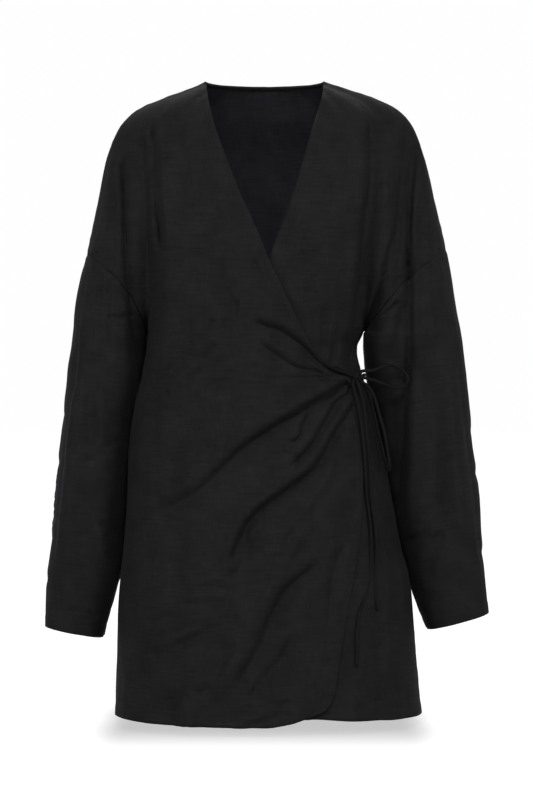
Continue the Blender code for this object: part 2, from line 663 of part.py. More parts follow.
TAIL_LONG = [
    KNOT,
    (0.1126, -0.0735, -0.3968),
    (0.1145, -0.0755, -0.4070),
    (0.1190, -0.0762, -0.4243),
    (0.1243, -0.0770, -0.4563),
    (0.1273, -0.0792, -0.4882),
    (0.1290, -0.0798, -0.5175),
    (0.1301, -0.0812, -0.5416),
    (0.1332, -0.0830, -0.5657),
    (0.1352, -0.0848, -0.5925),
    (0.1350, -0.0899, -0.6191),
    (0.1325, -0.0964, -0.6440),
    (0.1267, -0.1028, -0.6686),
    (0.1200, -0.1086, -0.6870),
    (0.1167, -0.1127, -0.7106),
    (0.1160, -0.1153, -0.7331),
    (0.1159, -0.1174, -0.7544),
]
LEAD_ROW = SHOULDER_ROWS + ARMHOLE_ROWS + 3     # row at whose free edge the front lead is sewn on
SEAM_ROW = SHOULDER_ROWS + ARMHOLE_ROWS + 4     # row at whose side seam the side lead is sewn on


def sewn_point(points, row):
    """A place on the outer face of a panel, at the end of a row, where a tie lies against it."""
    return points[row, -1] + outward(points)[row, -1] * (WALL / 2 + REST_GAP + TIE_WIDTH / 2)


def knot_exit(toward):
    """The first two points of a tie that leaves the knot squarely, towards a point."""
    direction = np.array(toward) - KNOT_PLACE
    direction = direction / np.linalg.norm(direction)
    surface = KNOT_RADII ** 2 * direction / np.linalg.norm(KNOT_RADII * direction)
    start = KNOT_PLACE + surface + direction * REST_GAP
    return [start, start + direction * TIE_WIDTH / 2]


def smooth_route(route, step):
    """Points at even steps along a smooth curve through the points of a route."""
    route = np.array(route)
    ends = np.concatenate([[2 * route[0] - route[1]], route, [2 * route[-1] - route[-2]]])
    dense = []
    for a, b, c, d in zip(ends, ends[1:], ends[2:], ends[3:]):
        for t in np.linspace(0, 1, CURVE_STEPS, endpoint=False):
            curve = 2 * b + (c - a) * t + (2 * a - 5 * b + 4 * c - d) * t ** 2 + (3 * b - a - 3 * c + d) * t ** 3
            dense.append(curve / 2)
    dense = np.array(dense + [route[-1]])
    length = np.concatenate([[0], np.cumsum(np.linalg.norm(np.diff(dense, axis=0), axis=1))])
    count = max(2, round(length[-1] / step) + 1)
    place = np.linspace(0, length[-1], count)
    return np.stack([np.interp(place, length, dense[:, axis]) for axis in range(3)], axis=1)


def tie(name, route):
    """A narrow tie along a route, squared off at the knot."""
    head = knot_exit(route[1]) if route[0] is KNOT else []
    tail = knot_exit(route[-2])[::-1] if route[-1] is KNOT else []
    free = [point for point in route if point is not KNOT]
    middle = smooth_route(head[1:] + free + tail[:1], CORD_STEP)
    points = head[:1] + list(middle) + tail[1:]
    curve = bpy.data.curves.new(name, "CURVE")
    curve.dimensions = "3D"
    curve.bevel_depth = TIE_WIDTH / 2
    curve.bevel_resolution = 2
    curve.use_fill_caps = True
    spline = curve.splines.new("POLY")
    spline.points.add(len(points) - 1)
    for point, place in zip(spline.points, points):
        point.co = (*place, 1)
    curve.materials.append(cloth_material(name + "_cloth"))
    dress.objects.link(bpy.data.objects.new(name, curve))


def tie_knot():
    mesh = bpy.data.meshes.new("tie_knot")
    bm = bmesh.new()
    bmesh.ops.create_uvsphere(bm, u_segments=14, v_segments=10, radius=1)
    for vert in bm.verts:
        vert.co = [centre + radius * value for centre, radius, value in zip(KNOT_PLACE, KNOT_RADII, vert.co)]
    bm.to_mesh(mesh)
    bm.free()
    mesh.shade_smooth()
    mesh.materials.append(cloth_material("tie_knot_cloth"))
    dress.objects.link(bpy.data.objects.new("tie_knot", mesh))


for old in list(bpy.data.objects):
    bpy.data.objects.remove(old)
dress = bpy.data.collections.new("wrap_dress")
bpy.context.scene.collection.children.link(dress)

right_front()
left_front()
back()
sleeve(RIGHT)
sleeve(LEFT)
back_neck_binding()
tie_knot()
tie("tie_lead_front", [sewn_point(top_points(), LEAD_ROW)] + LEAD_FRONT)
tie("tie_lead_side", [sewn_point(under_points(), SEAM_ROW)] + LEAD_SIDE)
tie("tie_loop_short", LOOP_SHORT)
tie("tie_loop_long", LOOP_LONG)
tie("tie_tail_short", TAIL_SHORT)
tie("tie_tail_long", TAIL_LONG)
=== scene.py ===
"""Looks of the wrap dress: fine cloth shells with folds placed one by one, the tied bow, camera and light.

Frame: metres, +Z up, the front faces -Y and +X is the wearer's left. The origin lies midway between
the two neck points. Heights are given as drops: distances below the neck points.
"""

import math
from collections import namedtuple

import bpy
import numpy as np
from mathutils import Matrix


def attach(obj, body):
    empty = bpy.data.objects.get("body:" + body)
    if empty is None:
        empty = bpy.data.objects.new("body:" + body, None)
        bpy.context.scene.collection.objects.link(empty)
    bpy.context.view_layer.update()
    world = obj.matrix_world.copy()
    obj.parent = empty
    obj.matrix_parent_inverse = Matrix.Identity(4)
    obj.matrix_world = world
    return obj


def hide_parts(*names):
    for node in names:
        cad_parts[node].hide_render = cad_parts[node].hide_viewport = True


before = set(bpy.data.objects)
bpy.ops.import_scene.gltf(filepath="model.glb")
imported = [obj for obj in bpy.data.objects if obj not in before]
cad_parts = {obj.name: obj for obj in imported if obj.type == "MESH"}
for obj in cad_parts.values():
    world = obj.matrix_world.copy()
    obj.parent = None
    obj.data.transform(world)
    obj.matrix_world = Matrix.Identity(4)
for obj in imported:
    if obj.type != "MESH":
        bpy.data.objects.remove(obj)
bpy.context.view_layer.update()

# ---------------------------------------------------------------- dimensions
WALL = 0.0010            # thickness of the cloth where it is single
HEM_WALL = 0.0019        # thickness where an edge is turned under
HEM_TURN = 0.014         # widths of the turned edges: hems, the fronts' free edges and the back neck
EDGE_TURN = 0.009
NECK_TURN = 0.006
TURN_BLEND = 0.0012      # distance over which a turned edge thins out
SEAM_GAP = 0.0005        # distance between two panels that meet at a seam
CROTCH_GAP = 0.0012      # the same under the arm, where body and sleeve hang side by side
UNDERLAP = 0.0045        # how far the under layer lies inside the top layer at the wrap's edge
UNDERLAP_RAMP = 0.060    # distance beside that edge over which it sinks so far
UNDERLAP_DEEP = 0.014    # how much further inside it hangs behind the top layer's folds
DEEP_RAMP = 0.022        # distance behind the edge over which it does
SIDE_RAMP = 0.028        # distance from its side seam over which it sinks
BINDING_WIDTH = 0.005
BINDING_WALL = 0.0008
BINDING_CLEAR = 0.0002   # gap between the binding and the cloth
BINDING_BULGE = 0.0003
BINDING_END = 0.97       # where the binding ends, as a share of the way from the middle to the neck point
TIE_WIDTH = 0.0044
BENT_ACROSS = 0.6        # how much the distance across counts beside the angle in the places of the crumples
BODY_RADIUS = 0.16       # mean radii that turn an angle round the body or a sleeve into a distance
SLEEVE_RADIUS = 0.055

TOP_DROP = 0.226         # the level across the body from which the armholes start
UNDERARM_DROP = 0.330
HEM_DROP = 0.827
BOW_FADE = 0.26          # share of a sleeve over which its armhole's bow dies out
CROTCH_FADE = 0.083      # share of the side seam over which the gap under the arm closes
LEVEL = 0.2              # share of a half row, from the middle, that runs level
SEAM_BLEND = 0.75        # share of a half row from which the form follows the seam line
GAP_OPENS = 0.35         # angle round the armhole over which the body's share of the gap opens
ARM_BOXY = (2.1, 3.2)    # roundness of the sleeves where they are round and where they hang flat
FULLER_FROM = (0.24, 0.12)   # the drop from which the body's front is fuller, and the run of the change

# the profile of folds, in fold widths from their course
FOLD_REACH = 5           # how far a fold is worked out
FOLD_RIM = 0.030         # depth of the form over which folds fade towards its outline
FOLD_SHOULDER = 0.22     # height of the soft ridges beside a trough, as a share of its depth
TROUGH = (1, 1.7)        # reach and power of the sides of a trough
LAP_LOW = (2.4, 1.3)     # the same for the low and the high side of a lapping fold
LAP_HIGH = (0.75, 1.7)
TROUGH_RIDGE = (2.3, 0.9)    # place and width of the ridge beside a trough, and beside a lap
LAP_RIDGE = (2.2, 1.3)
ROUTE_STEPS = 4          # points of a fold's course for each of its table

SHOULDER_ROWS = 40
SHOULDER_CROWD = 1.5     # how closely the rows crowd at the neck point
ARMHOLE_ROWS = 56
ARMHOLE_CROWD = 1.6      # how closely the rows crowd at the armhole's top and foot
ROW_STEP = 0.0034
NEAR_KNOT = (0.372, 0.600)   # drops between which the folds at the tie need the finest rows
BACK_COLUMNS = 130
SLEEVE_ROWS = 160
RING_POINTS = 132
ROW_STEPS = 300

ALLOWANCE = ((0.0080, 0.0024), (0.0040, 0.0022), (0.0008, 0.0014))   # reach and sink of seam allowances
ROW_SINK = 1.35          # how much deeper the sleeves' allowance lies than the back's
THIN_ALLOWANCE = 0.08    # share of the back's allowance beside the armholes, and the station where they end
THIN_UNTIL = 2.02
SEAM_GROOVE = 0.0007     # how deep a seam lies in the cloth
SEAM_REACH = 0.0045      # half width of that groove
PUCKER = 0.0006          # height of the puckers beside a seam
PUCKER_REACH = 0.022
PUCKER_CELLS = (0.0085, 0.03)    # their size along the seam and away from it
PUCKER_CLEAR = 0.003     # width of the stitched line that has none
SEAM_STEP = 0.0012
SEAM_FADE = 0.01         # distance below a neck point, or a sleeve's armhole, over which seams start
SEAM_CALM = 0.02         # distance from a seam over which the crumples start
NECK_CALM = 0.03         # distance from the neck or armhole over which the cloth is calmer
SLEEVE_CALM = 0.4        # share of the crumples that is left at a sleeve's own seam
POINT_BLOCK = 4000       # points that are set against a seam at a time

# uneven waves of the cloth: height, and size of a cell across and down
Wave = namedtuple("Wave", "height across down")
WIDE_WAVE = Wave(0.0018, 0.034, 0.115)
MIDDLE_WAVE = Wave(0.00115, 0.016, 0.052)
SMALL_WAVE = Wave(0.00036, 0.0075, 0.021)
CALM_PATCH = Wave(0.45, 0.09, 0.11)      # how much the smaller waves come and go
WARP_WAVE = Wave(0.010, 0.11, 0.16)      # how far the waves stray sideways
MIDDLE_SLANT = 0.12
LATTICE = 64             # cells of noise before it repeats


def table(columns, *rows):
    """Rows of a table with named columns."""
    kind = namedtuple("Row", columns)
    return [kind(*row) for row in rows]


# half widths of the whole outline, and of the body alone, on the wearer's right and left
OUTLINE = table("drop right left",
    (0.000, 0.0775, 0.0765), (0.010, 0.1000, 0.1080), (0.020, 0.1275, 0.1370), (0.030, 0.1530, 0.1600),
    (0.042, 0.1735, 0.1787), (0.063, 0.1920, 0.1945), (0.100, 0.2060, 0.2085), (0.160, 0.2190, 0.2230),
    (0.229, 0.2335, 0.2390), (0.290, 0.2465, 0.2500), (0.350, 0.2535, 0.2572), (0.430, 0.2620, 0.2650),
    (0.510, 0.2705, 0.2730), (0.590, 0.2790, 0.2812), (0.655, 0.2850, 0.2884), (0.730, 0.2890, 0.2940))
TORSO = table("drop right left",
    (0.000, 0.0775, 0.0765), (0.020, 0.1275, 0.1370), (0.040, 0.1560, 0.1580), (0.100, 0.1600, 0.1580),
    (0.160, 0.1600, 0.1545), (0.229, 0.1585, 0.1470), (0.270, 0.1570, 0.1400), (0.300, 0.1558, 0.1335),
    (0.330, 0.1545, 0.1290), (0.350, 0.1555, 0.1205), (0.381, 0.1600, 0.1260), (0.424, 0.1700, 0.1410),
    (0.484, 0.1772, 0.1550), (0.549, 0.1800, 0.1670), (0.608, 0.1840, 0.1775), (0.650, 0.1880, 0.1880),
    (0.738, 0.1920, 0.1965), (0.828, 0.1945, 0.2050))
# reach of the body in front of and behind its side seams, and how boxy its rings are (2 is an ellipse)
DEPTHS = table("drop front back boxy",
    (0.000, 0.006, 0.050, 2.0), (0.010, 0.022, 0.056, 2.0), (0.025, 0.041, 0.064, 2.0),
    (0.050, 0.063, 0.074, 2.1), (0.090, 0.085, 0.088, 2.4), (0.150, 0.104, 0.100, 2.6),
    (0.220, 0.114, 0.104, 2.7), (0.290, 0.115, 0.099, 2.7), (0.350, 0.111, 0.091, 2.5),
    (0.410, 0.110, 0.088, 2.3), (0.470, 0.114, 0.094, 2.2), (0.550, 0.123, 0.107, 2.2),
    (0.650, 0.132, 0.118, 2.2), (0.829, 0.142, 0.127, 2.2))
# the sleeves: their inner line on each side, their reach in front and behind, how far they are one with the
# body, the fillet between the two, and how far back the inner line is turned
ARMS = table("drop right left front back merged fillet turned",
    (0.040, 0.0300, 0.0300, 0.062, 0.070, 1.00, 0.000, 0.000),
    (0.100, 0.0400, 0.0400, 0.078, 0.078, 0.60, 0.030, 0.000),
    (0.150, 0.0500, 0.0500, 0.082, 0.082, 0.35, 0.030, 0.000),
    (0.200, 0.0700, 0.0620, 0.080, 0.082, 0.15, 0.024, 0.000),
    (0.250, 0.1000, 0.0840, 0.075, 0.079, 0.04, 0.018, 0.000),
    (0.290, 0.1280, 0.1060, 0.072, 0.075, 0.00, 0.014, 0.000),
    (0.330, 0.1552, 0.1297, 0.071, 0.073, 0.00, 0.010, 0.000),
    (0.341, 0.1554, 0.1300, 0.071, 0.073, 0.00, 0.010, 0.005),
    (0.356, 0.1569, 0.1305, 0.0705, 0.074, 0.00, 0.010, 0.014),
    (0.390, 0.1622, 0.1350, 0.0705, 0.076, 0.00, 0.010, 0.028),
    (0.415, 0.1664, 0.1402, 0.0708, 0.0765, 0.00, 0.010, 0.031),
    (0.455, 0.1728, 0.1485, 0.0715, 0.077, 0.00, 0.010, 0.036),
    (0.531, 0.1778, 0.1618, 0.070, 0.074, 0.00, 0.010, 0.037),
    (0.615, 0.1845, 0.1785, 0.063, 0.067, 0.00, 0.010, 0.033),
    (0.684, 0.2007, 0.1995, 0.055, 0.059, 0.00, 0.010, 0.018),
    (0.727, 0.2120, 0.2180, 0.050, 0.053, 0.00, 0.010, 0.008))
# drops of the outer and inner end of the rings of each sleeve, from armhole to cuff
RINGS = table("along right_out right_inn left_out left_inn",
    (0.00, 0.2290, 0.3300, 0.2220, 0.3300), (0.06, 0.2580, 0.3410, 0.2520, 0.3380),
    (0.14, 0.2900, 0.3580, 0.2900, 0.3520), (0.26, 0.3450, 0.3920, 0.3500, 0.3820),
    (0.42, 0.4250, 0.4550, 0.4300, 0.4550), (0.58, 0.5050, 0.5300, 0.5080, 0.5320),
    (0.75, 0.5900, 0.6120, 0.5920, 0.6200), (0.90, 0.6660, 0.6850, 0.6600, 0.6840),
    (1.00, 0.7125, 0.7275, 0.6945, 0.7174))
# sign: the side of the middle plane. top_drop: the armhole's top. bow: how far the armhole bows inward.
# squared and flat: the drop below which a sleeve's front is boxy, or hangs straight, and the run of the
# change. fuller: how much boxier the body's front is on that side than the table says
Side = namedtuple("Side", "name sign top_drop bow squared flat fuller")
RIGHT = Side(name="right", sign=-1, top_drop=0.229, bow=0.014, squared=(0.16, 0.20), flat=(0.16, 0.20),
             fuller=0.7)
LEFT = Side(name="left", sign=1, top_drop=0.222, bow=0.009, squared=(0.28, 0.09), flat=(0.50, 0.12),
            fuller=0)

# the panels' hems, and the free edges of the fronts, as seen from the front
TOP_HEM = table("across drop",
    (-0.1950, 0.8250), (-0.1200, 0.8275), (0.0000, 0.8290), (0.0300, 0.8250), (0.0560, 0.8170))
UNDER_HEM = table("across drop",
    (-0.120, 0.820), (0.056, 0.819), (0.110, 0.823), (0.205, 0.827))
BACK_HEM = table("across drop",
    (-0.195, 0.825), (0.000, 0.828), (0.205, 0.827))

TOP_EDGE = table("drop across",
    (0.000, -0.0775), (0.022, -0.0745), (0.063, -0.0650), (0.107, -0.0500), (0.158, -0.0300),
    (0.192, -0.0145), (0.238, 0.0045), (0.285, 0.0265), (0.325, 0.0460), (0.362, 0.0670),
    (0.379, 0.0810), (0.386, 0.0930), (0.389, 0.1060), (0.396, 0.1125), (0.432, 0.1190),
    (0.490, 0.1250), (0.540, 0.1245), (0.600, 0.1200), (0.680, 0.1060), (0.755, 0.0930),
    (0.790, 0.0870), (0.806, 0.0790), (0.817, 0.0560))
UNDER_EDGE = table("drop across",
    (0.000, 0.0765), (0.018, 0.0750), (0.063, 0.0625), (0.112, 0.0485), (0.156, 0.0355),
    (0.192, 0.0220), (0.238, 0.0045), (0.285, -0.0200), (0.335, -0.0550), (0.388, -0.1080),
    (0.450, -0.1160), (0.600, -0.1160), (0.820, -0.1100))

# ---------------------------------------------------------------- folds
# In millimetres. Each row gives a fold's widths, depths, step and fades, and then the x and drop of each
# point of its route, seen from the front. The two widths and depths are those at its start and end, and a
# positive depth is a trough. step sinks the cloth on one side of its course and raises a ridge on the
# other. The fades are the lengths over which it grows at its start and dies out at its end.
Fold = namedtuple("Fold", "width depth step fade route")


def fold_table(rows):
    return [Fold(shape[:2], shape[2:4], shape[4], shape[5:], np.reshape(route, (-1, 2)))
            for shape, *route in rows]


TOP_FOLDS = fold_table([
    ((3.2, 9, 13, 3.5, -3.2, 4, 50), 107, 393.5, 80, 411.5, 49.5, 428.5, 17.5, 449, -19, 473.5, -43, 495,
     -64.5, 516.5, -82, 532, -110.5, 549, -131, 561, -151, 574),
    ((2.8, 4.0, 8, 7.5, -2, 6, 18), 111, 397, 105, 410, 90.5, 423, 75, 448.5, 55.5, 477.5, 39, 496,
     34, 507.5),
    ((3.0, 3.2, 4.5, 6.5, -1.2, 16, 10), 59.5, 424, 52, 439.5, 46, 452, 43, 464.5, 28, 473.5),
    ((2.7, 2.7, -2.4, -1.8, 0, 10, 12), 19, 474.5, 34, 482.5, 50.5, 483.5),
    ((3.4, 6.0, 9, 11.5, -3, 14, 30), 112.5, 417, 110.5, 427, 101, 444.5, 87.5, 466, 69.5, 495, 52, 514,
     29, 531.5, -1.5, 554, -19, 573, -31.5, 595.5, -45.5, 630.5),
    ((7, 7, 5.5, 4.5, -1, 18, 18), -21.5, 581.5, -24, 609, -34, 634, -56.5, 645.5),
    ((4.5, 4.5, 3, 2.4, 0, 14, 14), -93.5, 661.5, -70.5, 653.5, -53, 654.5, -31.5, 663),
    ((5.2, 5.2, 2.6, 2.6, 0, 14, 14), -110, 679.5, -84.5, 672.5, -61.5, 674.5),
    ((4.7, 5.2, 2.6, 2, 0, 12, 14), -153, 705, -133.5, 697, -110, 686),
    ((5.2, 4.2, 4, 3.1, -0.9, 14, 14), -115, 731.5, -88, 720, -73, 709.5, -50.5, 699.5),
    ((5.2, 5.2, 2.2, 2.2, 0, 10, 12), -150.5, 733.5, -125.5, 743),
    ((3.8, 3.4, -2.2, -1.8, 0, 12, 12), -133, 730, -107.5, 717, -75.5, 701),
    ((7.4, 7.4, 2.6, 2.6, 0, 12, 12), -105, 613, -128.5, 630),
    ((6.8, 7.9, -2.9, -3.5, 0, 18, 22), 110.5, 588, 103.5, 633, 98.5, 683),
    ((4.7, 6.3, 3.3, 2.9, 0, 14, 30), 102.5, 599, 88.5, 627.5, 80.5, 677.5, 78, 738.5),
    ((6.3, 7.4, -3.5, -2.9, 0, 25, 30), 54, 569, 25, 625.5, -4, 669, -34, 731.5),
    ((4.7, 6.3, -2.6, -2.6, 0, 20, 30), 93, 484, 72, 526.5, 44, 563, 14, 600.5),
    ((5.4, 8.4, 8.5, 7.5, -2, 30, 40), 69.5, 621, 45.5, 640.5, 26.5, 656.5, 16.5, 674, 5, 700, -4, 721.5,
     -16.5, 746.5, -27.5, 764, -37.5, 796.5),
    ((7.4, 7.4, 3.5, 2.8, 0, 16, 20), 49, 644.5, 26.5, 669, 15, 696.5),
    ((6.5, 7.5, 5.4, 4.4, -1, 26, 26), 39, 704, 24, 736.5, 6.5, 757.5, -10, 780, -30, 803.5),
    ((6, 6.8, 4.6, 3.8, 0.9, 18, 20), -35, 720.5, -49, 741.5, -59, 759.5, -66.5, 778),
    ((5.4, 5.6, 3.4, 2.8, 0, 14, 14), -61.5, 773, -75.5, 783.5, -93, 794),
    ((3.6, 3.6, 3.1, 2.6, 0, 8, 10), 36.5, 795, 11.5, 806),
    ((3.4, 3.8, -2.4, -2, 0, 12, 12), 32.5, 801.5, 4, 810, -24, 821, -44, 830),
    ((4.2, 4.2, 2, 2, 0, 8, 10), 55, 774, 68, 787, 76.5, 802),
    ((7.4, 8.4, 3.3, 6.1, 1.1, 25, 1), -115, 776.5, -117.5, 807, -118.5, 841),
    ((6.3, 7.4, -2.8, -5, 0, 25, 1), -95.5, 783, -97, 839.5),
    ((5.5, 3, 5.5, 8, 1.6, 16, 6), -19, 316.5, 1.5, 324.5, 17.5, 329.5, 31.5, 337, 45.5, 347, 59.5, 360.5,
     72.5, 372, 84, 384.5),
    ((5, 5, -3, -2.8, 0, 16, 16), -1.5, 340.5, 24, 354.5, 49.5, 364.5),
    ((4.5, 3, 3, 5, 0.8, 20, 6), -14, 339.5, 4, 354.5, 24, 368.5, 44.5, 377.5, 77.5, 385),
    ((4, 3, 2.2, 3.8, 0, 20, 5), 14, 390, 50.5, 390, 84, 391),
    ((2.7, 2.3, -1.8, -2.2, 0, 12, 4), 49.5, 364.5, 72.5, 378.5, 84, 382),
    ((3.4, 4.2, 3.3, 2.6, 0.6, 10, 14), -34, 289, -38, 306.5, -44.5, 323, -47, 337, -53, 350.5),
    ((3.2, 3.2, -2, -1.8, 0, 10, 10), -49.5, 267.5, -36.5, 290),
    ((3.2, 3.2, 2.6, 2.4, 0, 6, 6), -65, 313, -67, 324, -68.5, 336.5),
    ((4.2, 4.2, 3.1, 2.9, 0, 8, 10), -59.5, 345.5, -71, 358, -80, 371),
    ((3.2, 4.2, 2.6, 1.8, 0, 8, 16), -80, 376, -91.5, 388.5, -102, 402.5, -107, 423),
    ((3.7, 4.2, 2, 2.6, 0, 10, 8), -109.5, 377, -115, 397.5, -111, 407.5, -116, 425.5, -128, 437),
    ((3.2, 3.2, 1.8, 1.5, 0, 8, 8), -94, 339, -98, 367),
    ((4.2, 4.2, 2, 1.8, 0, 8, 8), -62, 390, -76, 410),
    ((3.2, 3.2, 1.8, 2.2, 0, 8, 8), -15, 237, -10, 263.5),
    ((14, 18, 2.8, 3.3, 0, 40, 60), -113.5, 456, -127.5, 570.5, -136, 672),
    ((12, 14, -2.6, -2.9, 0, 40, 60), -76, 550.5, -94.5, 645, -105, 721),
    ((16, 20, 2.4, 2.6, 0, 40, 60), -58.5, 119, -78.5, 209, -92.5, 297.5),
    ((12, 14, 2.2, 2, 0, 40, 60), -101, 78.5, -110.5, 170, -118.5, 258.5),
])
UNDER_FOLDS = fold_table([
    ((7, 5, 12, 14, -2, 30, 6), 136, 50.5, 135, 97.5, 134.5, 139.5, 130, 178, 126.5, 216, 121.5, 254,
     116.5, 290, 114, 315.5, 112, 340.5, 106.5, 370.5),
    ((3.9, 3.3, -2.4, -2.9, 0, 20, 8), 117, 204, 115.5, 241.5, 111.5, 280, 106, 328.5, 101, 374.5),
    ((4.4, 4.4, 2.3, 2.5, 0, 20, 16), 73.5, 296, 75, 329, 76.5, 362),
    ((3.3, 2.9, 3, 4.1, 0, 20, 6), 93, 316, 90.5, 346.5, 86.5, 374.5),
    ((3.7, 3.3, -1.8, -2.2, 0, 20, 8), 82.5, 313.5, 83, 351.5, 84, 372),
    ((8.8, 8.8, 2.1, 2.1, 0, 40, 30), 44.5, 228, 52, 285, 67.5, 341.5),
    ((4.2, 4.6, 3.9, 3.7, 0, 20, 30), 160.5, 563, 165.5, 605, 170, 643, 176.5, 691),
    ((4.4, 5, -2.6, -2.6, 0, 20, 30), 172.5, 581, 178, 626, 185.5, 683.5),
    ((12, 15, 4.6, 5.2, 0, 50, 1), 128, 652.5, 143.5, 735.5, 147, 849),
    ((10, 12, 2.9, 3.4, 0, 40, 1), 173, 726, 180.5, 853.5),
    ((9, 11, -2.8, -3.5, 0, 40, 1), 159.5, 699, 164.5, 851),
    ((4.4, 4.4, 3.4, 3, 0, 5, 14), 113.5, 382, 105.5, 356, 101, 328.5),
    ((3, 3, 9, 9, 0, 5, 6), 84, 378, 92, 383, 100, 386.5, 108, 388.5),
])
ARM_FOLDS = fold_table([
    ((3.8, 4.4, 8, 11, 0, 16, 18), -145.5, 58.5, -142, 97, -140.5, 130, -138, 169, -134, 203.5,
     -133.5, 234),
    ((11, 12, 17, 23, 2, 30, 45), -157, 66, -155, 110, -153, 150, -152, 200, -150, 245, -153, 285,
     -157, 327, -161, 385),
    ((4.8, 4, 9, 11, -1.2, 25, 25), -187, 88, -184, 127.5, -181.5, 167.5, -180, 213, -178, 251.5,
     -175.5, 279.5, -173, 306, -171, 327.5, -168.5, 355.5, -165.5, 386.5, -162, 418),
    ((4.1, 4.1, -3, -2.5, 0, 16, 25), -206, 235, -205.5, 289.5, -205, 353.5),
    ((5.8, 5.2, -2.8, -2.8, 0, 25, 25), -198.5, 89, -200.5, 159.5, -203, 231.5),
    ((3, 3.2, 1.8, 4.6, 0, 6, 3), -204, 310, -195, 312, -183.5, 311.5, -171.5, 306),
    ((9.2, 9.2, 3.2, 3, 0, 40, 40), -223.5, 382, -223, 456.5, -222, 533.5),
    ((5.8, 5.8, -2.3, -2.3, 0, 20, 20), -211.5, 402.5, -210.5, 488.5),
    ((4.6, 4.6, 2.5, 2.3, 0, 6, 6), -205.5, 479.5, -188.5, 469.5),
    ((4.1, 4.1, 2.1, 2.1, 0, 5, 5), -198, 491, -186, 484),
    ((4.6, 4.6, 2.8, 3, 0, 7, 7), -213.5, 573.5, -197.5, 592.5),
    ((3.4, 3.4, 2.3, 2.3, 0, 5, 5), -209, 599.5, -195.5, 590),
    ((3.4, 3.4, 1.6, 1.6, 0, 5, 5), -233.5, 495, -215.5, 496),
    ((4.6, 4.6, 2.3, 2.3, 0, 6, 6), -231, 689, -216.5, 702),
    ((4.6, 4.6, 1.8, 1.8, 0, 5, 5), -250.5, 695.5, -240, 685),
    ((4.6, 4.6, 1.7, 1.7, 0, 5, 5), -247, 549, -237.5, 564.5),
    ((10, 12, 3.7, 4.4, 1.1, 40, 40), -232.5, 507.5, -221.5, 604.5, -204, 664.5),
    ((10.3, 11.5, -2.3, -2.8, 0, 40, 60), -247, 381.5, -254, 508, -262, 637.5),
    ((9.2, 10.3, 2.8, 3.2, 0, 30, 1), -238, 643, -234, 735),
    ((5, 4.2, 11, 13, -1.2, 20, 3), 180.5, 75.5, 176.5, 115, 173, 148.5, 170.5, 178.5, 166.5, 203,
     160.5, 222, 155, 244, 150, 264, 144, 285.5, 138, 303, 131, 330),
    ((4.6, 4.6, 4.8, 4.8, 0, 16, 14), 173, 172, 171.5, 208, 168.5, 232.5, 165, 257.5, 161.5, 285.5),
    ((6.3, 5.8, -3, -3, 0, 25, 25), 155.5, 96.5, 153.5, 162, 145.5, 219.5),
    ((4.8, 4.6, 12, 12, 1.6, 18, 30), 197.5, 81, 193, 113.5, 188.5, 147.5, 185.5, 180.5, 184, 213,
     184.5, 241, 185.5, 270.5, 185.5, 302.5, 186, 341, 185.5, 382, 184, 412.5, 181.5, 450, 179.5, 482,
     177, 511, 175, 542, 173, 577),
    ((3.7, 3.7, 3.6, 3.6, 0, 4, 4), 181.5, 241, 188.5, 252.5, 182.5, 265.5),
    ((5.2, 5.8, -3.4, -3.2, 0, 25, 40), 209.5, 94.5, 210, 158.5, 210, 211.5, 212.5, 257, 213.5, 315,
     213, 373),
    ((2.8, 2.8, -1.8, -1.8, 0, 6, 6), 169.5, 284.5, 160.5, 296, 150.5, 304.5, 136, 314.5),
    ((3, 3, 2.8, 2.8, 0, 6, 6), 173, 289.5, 162, 302.5, 150.5, 309.5),
    ((6.9, 7.5, 5.8, 5.8, 0, 12, 16), 175.5, 289.5, 174.5, 315, 171, 334.5, 166, 356, 162, 379.5),
    ((10.3, 10.3, 5.2, 6.3, 0, 20, 30), 167, 407.5, 168, 469.5, 168, 541.5),
    ((5.3, 4.8, 4.4, 3.4, 1.1, 8, 10), 176.5, 602.5, 190, 598.5, 201, 595, 213.5, 583.5),
    ((3.9, 3.9, -2.8, -2.5, 0, 8, 8), 222.5, 578.5, 207.5, 599.5, 193, 610.5),
    ((5.3, 6.3, 3.9, 3.4, 0, 10, 25), 229, 586, 220, 607, 211.5, 632, 206, 664),
    ((9.2, 9.2, 2.5, 2.5, 0, 40, 40), 221, 407.5, 219.5, 495, 218.5, 577),
    ((9.2, 9.2, -2.1, -2.3, 0, 40, 40), 243, 379, 244.5, 495, 248.5, 598),
    ((9.2, 10.3, 3, 3.2, 0, 20, 1), 222, 663, 228.5, 729.5),
    ((8, 9.2, 2.3, 2.5, 0, 40, 40), 269.5, 457.5, 268, 573.5, 273, 664),
])
